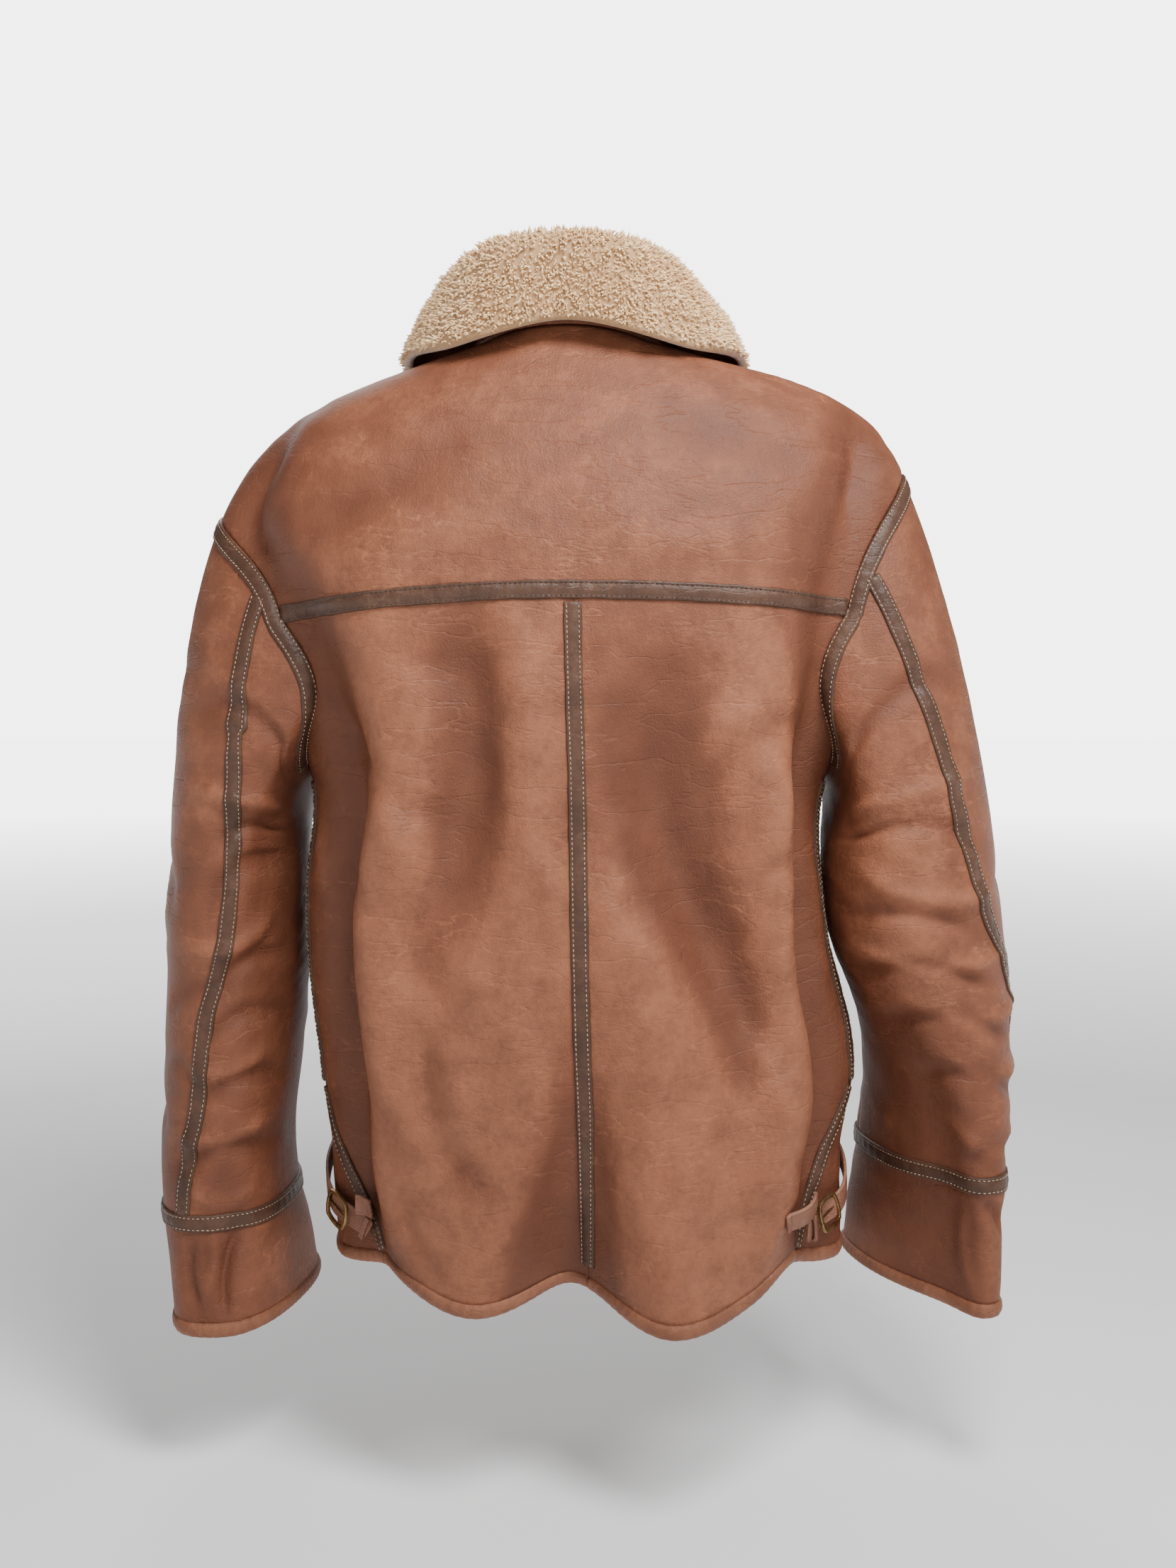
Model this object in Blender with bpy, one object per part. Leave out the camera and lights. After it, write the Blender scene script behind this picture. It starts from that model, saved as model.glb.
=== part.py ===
"""A shearling jacket, filled out as worn, with hollow walls and a folded wool collar.

Metres, +Z up. The wearer faces +Y, so the back of the jacket faces -Y. The origin is the
middle of the neck between the tops of the shoulders.
"""

import math

import bmesh
import bpy
import numpy as np

# Sizes of the pieces
GAP = 0.0003
WALL = 0.006
WOOL = 0.009
TAPE_LIFT = 0.0006
TAPE_WALL = 0.0014
TAPE_HALF = 0.0066
ARMHOLE_TAPE = 0.013
SEAM_SKIVE = 0.0005

# Roundness of the body, the sleeves and the armholes
BODY_SQUARE = 2.5
SLEEVE_SQUARE = 2.35
ARMHOLE_SQUARE = 2.3

# Armhole, in body angle and run
ARMHOLE_HALF = 37.0
ARMHOLE_RUN = 0.70
ARMHOLE_UP = 0.10
ARMHOLE_DOWN = 0.155
ARMHOLE_LEAN = 3.5
ARMHOLE_LEAN_REACH = 0.13
ARMHOLE_LEAN_WIDTH = 20.0

# Seams, in body angle and run
GUSSET_BACK = 51.0
GUSSET_FRONT = 104.0
FRONT_EDGE = 178.4


class Table:
    """Rows of numbers under column names, read as smooth curves through the rows."""

    def __init__(self, names, rows):
        self.names = names.split()
        self.rows = np.array(rows, dtype=float)
        self.slopes = np.gradient(self.rows, self.rows[:, 0], axis=0)

    def read(self, name, at):
        """Value of one column, with the first column at the given place."""
        x = self.rows[:, 0]
        column = self.names.index(name)
        y = self.rows[:, column]
        slope = self.slopes[:, column]
        at = np.clip(at, x[0], x[-1])
        i = np.clip(np.searchsorted(x, at, side="right") - 1, 0, len(x) - 2)
        width = x[i + 1] - x[i]
        t = (at - x[i]) / width
        start = (1 + 2 * t) * (1 - t) ** 2 * y[i]
        end = t * t * (3 - 2 * t) * y[i + 1]
        lean = width * t * (1 - t) * ((1 - t) * slope[i] - t * slope[i + 1])
        return start + end + lean


# Body rings: heights and reaches at the sides, back and front, from hem to neckline
BODY = Table(
    "run z_left z_right z_back z_front x_left x_right x_mid y_back y_front",
    [
        (0.000, -0.727, -0.727, -0.731, -0.730, -0.2005, 0.2035, 0.000, -0.148, 0.132),
        (0.120, -0.645, -0.645, -0.650, -0.648, -0.2070, 0.2040, -0.001, -0.150, 0.136),
        (0.190, -0.598, -0.598, -0.602, -0.600, -0.2115, 0.2125, -0.002, -0.152, 0.139),
        (0.270, -0.545, -0.545, -0.548, -0.546, -0.2180, 0.2080, -0.004, -0.154, 0.141),
        (0.340, -0.497, -0.497, -0.500, -0.498, -0.2235, 0.1950, -0.005, -0.155, 0.142),
        (0.420, -0.446, -0.446, -0.448, -0.447, -0.2250, 0.1875, -0.006, -0.156, 0.142),
        (0.540, -0.362, -0.362, -0.350, -0.352, -0.2210, 0.1900, -0.008, -0.158, 0.140),
        (0.620, -0.305, -0.300, -0.285, -0.298, -0.2450, 0.2200, -0.010, -0.160, 0.136),
        (0.700, -0.245, -0.235, -0.218, -0.240, -0.2800, 0.2430, -0.011, -0.159, 0.130),
        (0.800, -0.148, -0.113, -0.158, -0.185, -0.2930, 0.2525, -0.012, -0.150, 0.120),
        (0.847, -0.096, -0.090, -0.124, -0.158, -0.2620, 0.2400, -0.013, -0.141, 0.112),
        (0.873, -0.0735, -0.0735, -0.103, -0.143, -0.2385, 0.2269, -0.013, -0.134, 0.107),
        (0.914, -0.051, -0.050, -0.070, -0.121, -0.1920, 0.1880, -0.014, -0.118, 0.098),
        (0.955, -0.036, -0.037, -0.040, -0.102, -0.1490, 0.1400, -0.015, -0.101, 0.088),
        (1.000, -0.022, -0.023, -0.010, -0.085, -0.0920, 0.0600, -0.016, -0.083, 0.075),
    ],
)

FOLD_COLUMNS = "run angle out width"

# Largest folds of the body: run, angle round from the centre back, height out, half-width
FOLDS = {
    "left panel edge": [
        (0.00, -41, 0.000, 9),
        (0.10, -41, 0.014, 9),
        (0.35, -40, 0.020, 9),
        (0.56, -38, 0.018, 10),
        (0.68, -36, 0.006, 13),
        (0.78, -36, 0.000, 14),
    ],
    "left side valley": [
        (0.00, -52, -0.016, 9),
        (0.30, -52, -0.022, 7),
        (0.48, -51, -0.022, 7),
        (0.58, -47, -0.020, 8),
        (0.68, -47, -0.016, 9),
        (0.76, -53, -0.015, 9),
        (0.84, -64, -0.011, 10),
        (0.90, -70, 0.000, 10),
    ],
    "right panel edge": [
        (0.00, 42, 0.000, 9),
        (0.08, 42, 0.012, 9),
        (0.35, 42, 0.020, 9),
        (0.52, 42, 0.020, 9),
        (0.62, 38, 0.008, 12),
        (0.72, 36, 0.000, 12),
    ],
    "right side valley": [
        (0.00, 53, -0.016, 9),
        (0.30, 55, -0.026, 9),
        (0.52, 55, -0.024, 8),
        (0.61, 50, -0.020, 8),
        (0.70, 47, -0.020, 8),
        (0.77, 49, -0.018, 9),
        (0.85, 57, -0.012, 9),
        (0.90, 62, 0.000, 9),
    ],
    "centre hem valley": [
        (0.00, -3, -0.040, 11),
        (0.08, -3, -0.024, 10),
        (0.22, -2, -0.006, 8),
        (0.35, -2, 0.000, 8),
    ],
    "right lobe": [
        (0.00, 16, 0.028, 13),
        (0.12, 15, 0.020, 12),
        (0.27, 12, 0.012, 11),
        (0.38, 8, 0.010, 9),
        (0.48, 4, 0.000, 8),
    ],
    "left lobe": [
        (0.00, -24, 0.007, 12),
        (0.20, -14, 0.006, 9),
        (0.45, -11, 0.006, 7),
        (0.62, -10, 0.009, 6),
        (0.72, -9, 0.000, 6),
    ],
    "left slant valley": [
        (0.20, -36, 0.000, 9),
        (0.40, -30, -0.008, 9),
        (0.50, -22, -0.012, 8),
        (0.57, -18, -0.013, 7),
        (0.64, -18, -0.009, 6),
        (0.70, -18, 0.000, 6),
    ],
    "right slant valley": [
        (0.20, 35, 0.000, 8),
        (0.28, 34, -0.014, 8),
        (0.42, 25, -0.014, 8),
        (0.55, 16, -0.010, 9),
        (0.66, 14, 0.000, 9),
    ],
}

FOLDS = {name: Table(FOLD_COLUMNS, rows) for name, rows in FOLDS.items()}

# Rise of the hem edge round the body, from the centre back
HEM = Table(
    "angle rise",
    [
        (-180, 0.000),
        (-90, 0.000),
        (-60, 0.008),
        (-42, 0.010),
        (-24, -0.004),
        (-3, 0.006),
        (16, -0.008),
        (32, 0.000),
        (43, 0.014),
        (60, 0.008),
        (90, 0.000),
        (180, 0.000),
    ],
)
HEM_REACH = 0.30

# Sleeve rings from below the armpit (0) to the cuff seam (1) and the cuff's edge.
# turn swings the long way of the ring, in degrees from +Y towards +X.
SLEEVES = {
    "left": Table(
        "run z x y thick deep turn",
        [
            (0.00, -0.415, -0.2815, -0.006, 0.0522, 0.090, 0),
            (0.15, -0.467, -0.2840, -0.004, 0.0535, 0.088, 0),
            (0.32, -0.514, -0.2845, 0.000, 0.0535, 0.085, 0),
            (0.48, -0.560, -0.2870, 0.000, 0.0530, 0.083, 0),
            (0.65, -0.607, -0.2900, 0.000, 0.0510, 0.081, 0),
            (0.82, -0.653, -0.2930, 0.000, 0.0490, 0.079, 2),
            (1.00, -0.700, -0.2900, 0.000, 0.0480, 0.079, 5),
            (1.16, -0.738, -0.2830, 0.000, 0.0470, 0.083, 9),
            (1.32, -0.775, -0.2775, 0.000, 0.0440, 0.087, 12),
        ],
    ),
    "right": Table(
        "run z x y thick deep turn",
        [
            (0.00, -0.415, 0.2550, -0.026, 0.0665, 0.080, 0),
            (0.18, -0.460, 0.2580, -0.026, 0.0685, 0.078, 0),
            (0.35, -0.497, 0.2645, -0.024, 0.0660, 0.076, 0),
            (0.48, -0.527, 0.2720, -0.020, 0.0600, 0.077, -3),
            (0.68, -0.577, 0.2800, -0.015, 0.0510, 0.080, -8),
            (0.80, -0.610, 0.2800, -0.013, 0.0450, 0.083, -14),
            (1.00, -0.665, 0.2750, -0.014, 0.0370, 0.087, -20),
            (1.20, -0.712, 0.2700, -0.014, 0.0310, 0.090, -23),
            (1.38, -0.754, 0.2665, -0.014, 0.0290, 0.092, -24),
        ],
    ),
}

# Largest folds of the sleeves: run, angle round from the back, height out, half-width
SLEEVE_FOLDS = {
    "left": {
        "elbow valley": [
            (-0.90, 300, 0.000, 30),
            (-0.30, 310, -0.006, 28),
            (0.40, 320, -0.004, 24),
            (0.80, 325, 0.000, 24),
        ],
        "cuff valley": [
            (0.70, -30, 0.000, 20),
            (1.00, -22, -0.005, 20),
            (1.32, -10, -0.004, 22),
        ],
    },
    "right": {
        "back of elbow": [
            (-0.60, -20, 0.000, 30),
            (0.10, -20, 0.006, 30),
            (0.60, -10, 0.000, 30),
        ],
        "cuff valley": [
            (0.45, 318, 0.000, 22),
            (0.80, 314, -0.010, 24),
            (1.10, 308, -0.012, 26),
            (1.38, 305, -0.010, 28),
        ],
    },
}

for folds in SLEEVE_FOLDS.values():
    for name, rows in folds.items():
        folds[name] = Table(FOLD_COLUMNS, rows)

# Sleeve seam under its tape: run from the armhole (-1), angle round from the back
SLEEVE_SEAMS = {
    "left": Table(
        "run angle",
        [
            (-1.0, 20),
            (-0.75, 11),
            (-0.5, 0),
            (-0.25, -9),
            (0.0, -14),
            (0.2, -9),
            (0.4, 6),
            (0.7, 11),
            (1.0, 19),
            (1.4, 24),
        ],
    ),
    "right": Table(
        "run angle",
        [
            (-1.0, 20),
            (-0.5, 21),
            (0.0, 29),
            (0.2, 40),
            (0.4, 57),
            (0.7, 80),
            (1.0, 88),
            (1.4, 90),
        ],
    ),
}
INNER_SEAM = 232.0

# Collar section, out and up from the neckline, by angle from the centre back
COLLAR = Table(
    "angle fold_out fold_up edge_out edge_up",
    [
        (-176, 0.013, 0.036, 0.052, -0.066),
        (-135, 0.014, 0.042, 0.066, -0.042),
        (-90, 0.012, 0.062, 0.056, 0.000),
        (-45, 0.008, 0.0705, 0.040, -0.011),
        (0, 0.003, 0.0715, 0.022, 0.000),
        (45, 0.008, 0.0705, 0.044, -0.011),
        (90, 0.017, 0.062, 0.068, 0.000),
        (135, 0.014, 0.042, 0.066, -0.042),
        (176, 0.013, 0.036, 0.052, -0.066),
    ],
)

# Side straps and their back tabs: body angle, run and lift; buckles: the same, at the middle
STRAP_WIDTH = 0.016
STRAP_THICK = 0.0026
STRAPS = {
    "left": [
        (101.0, 0.092, 0.0007),
        (92.0, 0.090, 0.0020),
        (82.0, 0.082, 0.0030),
        (72.0, 0.068, 0.0040),
        (62.5, 0.050, 0.0055),
        (56.0, 0.037, 0.0070),
        (53.0, 0.030, 0.0070),
    ],
    "right": [
        (101.0, 0.088, 0.0007),
        (92.0, 0.086, 0.0020),
        (82.0, 0.078, 0.0030),
        (70.0, 0.062, 0.0040),
        (60.0, 0.048, 0.0080),
        (53.0, 0.038, 0.0120),
        (48.0, 0.030, 0.0090),
    ],
}
TABS = {
    "left": [(49.0, 0.060, 0.0060), (52.5, 0.061, 0.0100), (56.8, 0.062, 0.0110)],
    "right": [(40.0, 0.062, 0.0000), (45.5, 0.064, 0.0095), (50.3, 0.066, 0.0130)],
}
BUCKLE_PLACE = 4
BUCKLE_LIFT = {"left": 0.0005, "right": 0.0014}
BUCKLE_LONG = 0.0130
BUCKLE_HIGH = 0.0115
BUCKLE_WIRE = 0.0014
PRONG_HALF = 0.0009
KEEPER_LONG = 0.0040
KEEPER_THICK = 0.0012
KEEPER_PLAY = {"left": 0.0005, "right": 0.0014}

# Zip slider, in the front's own up and out directions, and its pull tab below the pin's axis
SLIDER_RUN = 0.832
SLIDER_HALF = 0.0045
SLIDER_EAR = (0.0026, 0.0036)
SLIDER_SECTION = [
    (-0.0052, -0.0010),
    (-0.0052, 0.0012),
    (-0.0030, 0.0024),
    (-0.0020, 0.0024),
    (0.0020, 0.0024),
    (0.0030, 0.0024),
    (0.0052, 0.0012),
    (0.0052, -0.0010),
]
EAR_POINTS = (3, 4)
EAR_HIGH = 0.0054
STEP = 0.00006
PULL_AXIS_OUT = 0.0040
PULL_SECTIONS = [
    (0.0010, 0.0022, 0.0007),
    (0.0005, 0.0022, 0.0011),
    (-0.0006, 0.0022, 0.0011),
    (-0.0014, 0.0019, 0.0007),
    (-0.0034, 0.0019, 0.0007),
    (-0.0044, 0.0034, 0.0007),
    (-0.0240, 0.0038, 0.0007),
    (-0.0268, 0.0026, 0.0007),
]

# Direction that picks the diagonal of each four-sided face, the same on a panel and its tape
LEAN = (0.25, 0.1, 1.0)


def unit(vectors):
    """Vectors scaled to length one."""
    size = np.linalg.norm(vectors, axis=-1, keepdims=True)
    return vectors / np.maximum(size, 1e-12)


def round_out(angle, square):
    """Sine and cosine of a squared-off circle."""
    s = np.sin(np.radians(angle))
    c = np.cos(np.radians(angle))
    grow = (np.abs(s) ** square + np.abs(c) ** square) ** (-1.0 / square)
    return s * grow, c * grow


def fold_height(folds, angle, run):
    """Sum of the folds at an angle and run."""
    total = np.zeros(np.broadcast(angle, run).shape)
    for table in folds.values():
        first = table.rows[0, 0]
        last = table.rows[-1, 0]
        near = (np.asarray(angle) - table.read("angle", run) + 180.0) % 360.0 - 180.0
        bump = table.read("out", run) * np.exp(-((near / table.read("width", run)) ** 2))
        inside = (run >= first - 0.05) & (run <= last + 0.05)
        total = total + np.where(inside, bump, 0.0)
    return total


def body_base(angle, run):
    """Smooth body surface, before its folds."""
    angle = np.asarray(angle, dtype=float)
    run = np.asarray(run, dtype=float)
    s, c = round_out(angle, BODY_SQUARE)
    right = np.sin(np.radians(angle)) >= 0
    back = np.cos(np.radians(angle)) >= 0
    mid = BODY.read("x_mid", run)
    reach = np.where(right, BODY.read("x_right", run) - mid, mid - BODY.read("x_left", run))
    depth = np.where(back, -BODY.read("y_back", run), BODY.read("y_front", run))
    z_side = np.where(right, BODY.read("z_right", run), BODY.read("z_left", run))
    z_middle = np.where(back, BODY.read("z_back", run), BODY.read("z_front", run))
    share = np.cos(np.radians(angle)) ** 2
    turned = (angle + 180.0) % 360.0 - 180.0
    lift = HEM.read("rise", turned) * np.clip(1.0 - run / HEM_REACH, 0.0, 1.0) ** 2
    z = z_side + (z_middle - z_side) * share + lift
    return np.stack([mid + reach * s, -depth * c, z], axis=-1)


def slope_normal(surface, angle, run, outward, first, last):
    """Normal of a surface from its slopes, between its first and last run."""
    run = np.clip(run, first + 0.002, last - 0.002)
    across = surface(angle + 0.4, run) - surface(angle - 0.4, run)
    along = surface(angle, run + 0.002) - surface(angle, run - 0.002)
    return unit(np.cross(across, along)) * outward


def body_surface(angle, run):
    """Outer face of the body with its folds."""
    angle = np.asarray(angle, dtype=float)
    run = np.asarray(run, dtype=float)
    out = slope_normal(body_base, angle, run, 1.0, 0.0, 1.0)
    return body_base(angle, run) + out * fold_height(FOLDS, angle, run)[..., None]


def body_normal(angle, run):
    """Outward normal of the body."""
    angle = np.asarray(angle, dtype=float)
    run = np.asarray(run, dtype=float)
    return slope_normal(body_surface, angle, run, 1.0, 0.0, 1.0)


def armhole_point(turn):
    """Body angle and run on the right armhole: 0 back, 90 top, 180 front, 270 underarm."""
    s, c = round_out(turn, ARMHOLE_SQUARE)
    rise = np.where(s >= 0, ARMHOLE_UP, ARMHOLE_DOWN) * s
    return 90.0 - ARMHOLE_HALF * c, ARMHOLE_RUN + rise


def leaned(angle, run):
    """Body angle after the lower back of the armhole leans towards the centre back."""
    drop = np.clip((ARMHOLE_RUN - run) / ARMHOLE_LEAN_REACH, 0.0, 1.0)
    near = np.exp(-(((angle - 90.0 + ARMHOLE_HALF) / ARMHOLE_LEAN_WIDTH) ** 2))
    start = np.clip(angle / 10.0, 0.0, 1.0)
    return angle - ARMHOLE_LEAN * np.sin(math.pi * drop) * near * start


def side_sign(side):
    """Plus one for the wearer's right, minus one for the left."""
    return 1.0 if side == "right" else -1.0


def sleeve_ring(side, angle, run):
    """Sleeve ring below the armpit, before the folds."""
    table = SLEEVES[side]
    s, c = round_out(angle, SLEEVE_SQUARE)
    turn = np.radians(table.read("turn", run))
    thick = table.read("thick", run) * side_sign(side) * s
    deep = table.read("deep", run) * -c
    x = table.read("x", run) + deep * np.sin(turn) + thick * np.cos(turn)
    y = table.read("y", run) + deep * np.cos(turn) - thick * np.sin(turn)
    z = table.read("z", run) + 0.0 * x
    return np.stack([x, y, z], axis=-1)


def sleeve_base(side, angle, run):
    """Sleeve surface from the armhole (run -1) to the cuff's edge, before its folds."""
    angle, run = np.broadcast_arrays(np.asarray(angle, dtype=float), np.asarray(run, dtype=float))
    lower = sleeve_ring(side, angle, np.maximum(run, 0.0))
    hole_angle, hole_run = armhole_point(angle)
    hole_angle = leaned(hole_angle, hole_run)
    start = body_surface(side_sign(side) * hole_angle, hole_run)
    end = sleeve_ring(side, angle, np.zeros_like(run))
    onward = unit(sleeve_ring(side, angle, np.full_like(run, 0.04)) - end)
    c = np.cos(np.radians(angle))
    s = np.sin(np.radians(angle))
    outward = 0.40 + 0.25 * c * c - 0.15 * (1.0 - s)
    away = body_normal(side_sign(side) * hole_angle, hole_run)
    low = np.clip(0.55 - 0.55 * s, 0.0, 1.0)[..., None]
    leave = np.stack([side_sign(side) * outward, 0.0 * c, -np.ones_like(c)], axis=-1)
    leave = unit(leave + away * low * 0.85)
    size = np.linalg.norm(end - start, axis=-1, keepdims=True)
    t = np.clip(run + 1.0, 0.0, 1.0)[..., None]
    upper = (
        (1 + 2 * t) * (1 - t) ** 2 * start
        + t * (1 - t) ** 2 * leave * size * 0.8
        + t * t * (3 - 2 * t) * end
        - t * t * (1 - t) * onward * size * 0.8
    )
    return np.where((run < 0.0)[..., None], upper, lower)


def sleeve_surface(side, angle, run):
    """Outer face of a sleeve with its folds."""
    angle, run = np.broadcast_arrays(np.asarray(angle, dtype=float), np.asarray(run, dtype=float))
    flip = -side_sign(side)
    last = SLEEVES[side].rows[-1, 0]
    out = slope_normal(lambda a, r: sleeve_base(side, a, r), angle, run, flip, -1.0, last)
    height = fold_height(SLEEVE_FOLDS[side], angle, run)
    fade = np.clip((run + 1.0) / 0.3, 0.0, 1.0)
    return sleeve_base(side, angle, run) + out * (height * fade)[..., None]


def sleeve_normal(side, angle, run):
    """Outward normal of a sleeve."""
    angle, run = np.broadcast_arrays(np.asarray(angle, dtype=float), np.asarray(run, dtype=float))
    last = SLEEVES[side].rows[-1, 0]
    flip = -side_sign(side)
    return slope_normal(lambda a, r: sleeve_surface(side, a, r), angle, run, flip, -1.0, last)


class Sheet:
    """Points, normals and four-sided faces of one piece of cloth."""

    def __init__(self):
        self.points = []
        self.normals = []
        self.faces = []
        self.index = {}

    def add_point(self, point, normal):
        """Number of a point, the same for points in the same place."""
        key = tuple(int(round(value * 2e5)) for value in point)
        if key not in self.index:
            self.index[key] = len(self.points)
            self.points.append(np.array(point))
            self.normals.append(np.array(normal))
        return self.index[key]

    def add_grid(self, points, normals):
        """Faces over a grid of rows and columns."""
        rows, columns = points.shape[:2]
        number = [
            [self.add_point(points[i, j], normals[i, j]) for j in range(columns)] for i in range(rows)
        ]
        for i in range(rows - 1):
            for j in range(columns - 1):
                corners = [number[i][j], number[i][j + 1], number[i + 1][j + 1], number[i + 1][j]]
                face = [corner for k, corner in enumerate(corners) if corner != corners[k - 1]]
                if len(face) == 4:
                    self.faces += self.split(face)
                elif len(face) == 3:
                    self.faces.append(face)

    def split(self, face):
        """Two triangles of a four-sided face, along the diagonal that folds nothing over."""
        low = min(range(4), key=lambda k: float(np.dot(self.points[face[k]], LEAN)))
        for first in (low, low + 1):
            turned = [face[(first + k) % 4] for k in range(4)]
            halves = [[turned[0], turned[1], turned[2]], [turned[0], turned[2], turned[3]]]
            ways = []
            for half in halves:
                a, b, c = (self.points[number] for number in half)
                ways.append(np.cross(b - a, c - a))
            if float(np.dot(ways[0], ways[1])) > 0.0:
                return halves
        return halves

    def border(self):
        """Edges with a face on one side only, in the order of that face."""
        used = {}
        for face in self.faces:
            for k, start in enumerate(face):
                end = face[(k + 1) % len(face)]
                used[(start, end)] = face
        return {edge: face for edge, face in used.items() if (edge[1], edge[0]) not in used}

    def pull_in(self, border, distance):
        """Points with the border drawn in by a distance."""
        points = np.array(self.points)
        shift = {}
        for (start, end), face in border.items():
            along = unit(points[end] - points[start])
            middle = points[face].mean(axis=0)
            inward = middle - (points[start] + points[end]) / 2
            inward = unit(inward - along * np.dot(inward, along))
            for number in (start, end):
                shift.setdefault(number, []).append(inward)
        moved = points.copy()
        for number, ways in shift.items():
            mean = unit(np.mean(ways, axis=0))
            share = max(0.5, float(np.dot(mean, ways[0])))
            moved[number] = points[number] + mean * distance / share
        return moved


def make_object(name, points, faces, material, collection):
    """Blender object from points and faces."""
    mesh = bpy.data.meshes.new(name)
    mesh.from_pydata([tuple(point) for point in points], [], faces)
    work = bmesh.new()
    work.from_mesh(mesh)
    bmesh.ops.recalc_face_normals(work, faces=work.faces)
    if work.calc_volume(signed=True) < 0.0:
        bmesh.ops.reverse_faces(work, faces=work.faces)
    work.to_mesh(mesh)
    work.free()
    thing = bpy.data.objects.new(name, mesh)
    thing.data.materials.append(material)
    collection.objects.link(thing)
    return thing


def make_wall(name, sheet, wall, material, collection, skive=SEAM_SKIVE, base=0.0, inset=GAP / 2):
    """Closed wall under a sheet: outer face, inner face and edges."""
    border = sheet.border()
    normals = np.array(sheet.normals)
    outer = sheet.pull_in(border, inset) + normals * base
    inner = sheet.pull_in(border, inset + skive) + normals * (base - wall)
    count = len(sheet.points)
    faces = [list(face) for face in sheet.faces]
    faces += [[number + count for number in reversed(face)] for face in sheet.faces]
    for start, end in border:
        rise = float(np.dot(sheet.points[end] - sheet.points[start], LEAN))
        if rise > 0.0:
            faces.append([end, start, end + count])
            faces.append([start, start + count, end + count])
        else:
            faces.append([end, start, start + count])
            faces.append([end, start + count, end + count])
    return make_object(name, np.vstack([outer, inner]), faces, material, collection)


def make_tube(name, rings, material, collection):
    """Closed solid through rings of equal count, capped at both ends."""
    rings = np.array(rings)
    count, around = rings.shape[:2]
    faces = []
    for i in range(count - 1):
        for j in range(around):
            k = (j + 1) % around
            faces.append([i * around + j, i * around + k, (i + 1) * around + k, (i + 1) * around + j])
    faces.append(list(range(around)))
    faces.append([(count - 1) * around + j for j in reversed(range(around))])
    return make_object(name, rings.reshape(-1, 3), faces, material, collection)


def make_loop(name, rings, material, collection):
    """Closed solid through rings whose last meets its first."""
    rings = np.array(rings)
    count, around = rings.shape[:2]
    faces = []
    for i in range(count):
        following = (i + 1) % count
        for j in range(around):
            k = (j + 1) % around
            faces.append([i * around + j, i * around + k, following * around + k, following * around + j])
    return make_object(name, rings.reshape(-1, 3), faces, material, collection)


def steps(start, end, count):
    """Evenly spaced values, both ends included."""
    return list(np.linspace(start, end, count))


def make_material(name, colour, roughness, metallic=0.0):
    """Principled material."""
    material = bpy.data.materials.new(name)
    material.use_nodes = True
    shader = material.node_tree.nodes["Principled BSDF"]
    shader.inputs["Base Color"].default_value = (*colour, 1.0)
    shader.inputs["Roughness"].default_value = roughness
    shader.inputs["Metallic"].default_value = metallic
    return material


class Maker:
    """Makes the pieces in one collection, each with its own material."""

    finishes = {
        "leather": ((0.235, 0.105, 0.060), 0.55, 0.0),
        "tape": ((0.085, 0.060, 0.048), 0.45, 0.0),
        "edging": ((0.300, 0.170, 0.100), 0.60, 0.0),
        "wool": ((0.480, 0.310, 0.170), 0.95, 0.0),
        "strap": ((0.330, 0.150, 0.100), 0.60, 0.0),
        "brass": ((0.420, 0.300, 0.140), 0.40, 1.0),
        "zip": ((0.060, 0.050, 0.045), 0.80, 0.0),
    }

    def __init__(self):
        for thing in list(bpy.data.objects):
            bpy.data.objects.remove(thing)
        self.collection = bpy.data.collections.new("shearling_jacket")
        bpy.context.scene.collection.children.link(self.collection)

    def finish(self, name, kind):
        """Material of one piece."""
        colour, roughness, metallic = self.finishes[kind]
        return make_material(f"{name}_{kind}", colour, roughness, metallic)

    def wall(self, name, sheet, wall, kind="leather", **options):
        """Cloth wall under a sheet."""
        return make_wall(name, sheet, wall, self.finish(name, kind), self.collection, **options)

    def tube(self, name, rings, kind):
        """Solid through rings, capped."""
        return make_tube(name, rings, self.finish(name, kind), self.collection)

    def loop(self, name, rings, kind):
        """Solid through rings that close on themselves."""
        return make_loop(name, rings, self.finish(name, kind), self.collection)

    def tape(self, name, points, normals, kind="tape", thick=TAPE_WALL):
        """Tape lying on a panel's own points."""
        sheet = Sheet()
        sheet.add_grid(points, normals)
        base = TAPE_LIFT + thick
        return self.wall(name, sheet, thick, kind, skive=0.0, base=base, inset=TAPE_TRIM)


# Bow of the columns beside the armhole, and how late the yoke's columns spread
ARMHOLE_BOW = 4.0
YOKE_EASE = 1.7

# Rolled edging of the hem and cuffs
EDGING_HIGH = 0.0105
EDGING_OUT = 0.0020
EDGING_THICK = 0.0078

# Trim of a tape's ends and edges, and the run of a sleeve's first band before it is shifted
TAPE_TRIM = 0.0004
FIRST_BAND = 0.08
SLEEVE_SHIFT = 0.0009

# Columns of the back panel: angle at the hem's gusset, at mid height and at the top.
# Past the yoke seam's end the top follows the armhole, given by its turn below 360.
BACK_MIDS = [0.0, 2.1, 9.0, 17.0, 25.0, 32.0, 37.5, 42.0, 46.5, 50.5, 54.5, 59.0, 65.0, 70.1, 72.0]
BACK_TOPS = [0.0, 2.1, 9.0, 17.0, 25.0, 32.5, 38.0, 42.5, 46.5, 50.0]
BACK_TURNS = [360.0, 340.0, 322.0, 305.0, 299.0]
YOKE_TURNS = [0.0, 20.0, 38.0, 54.0, 68.0, 82.0, 96.0, 113.0]
FRONT_TURNS = [299.0, 293.0, 284.0, 268.0, 250.0, 232.0, 216.0, 198.0, 180.0]
FRONT_UPPER_TURNS = [113.0, 130.0, 148.0, 165.0, 180.0]
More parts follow.
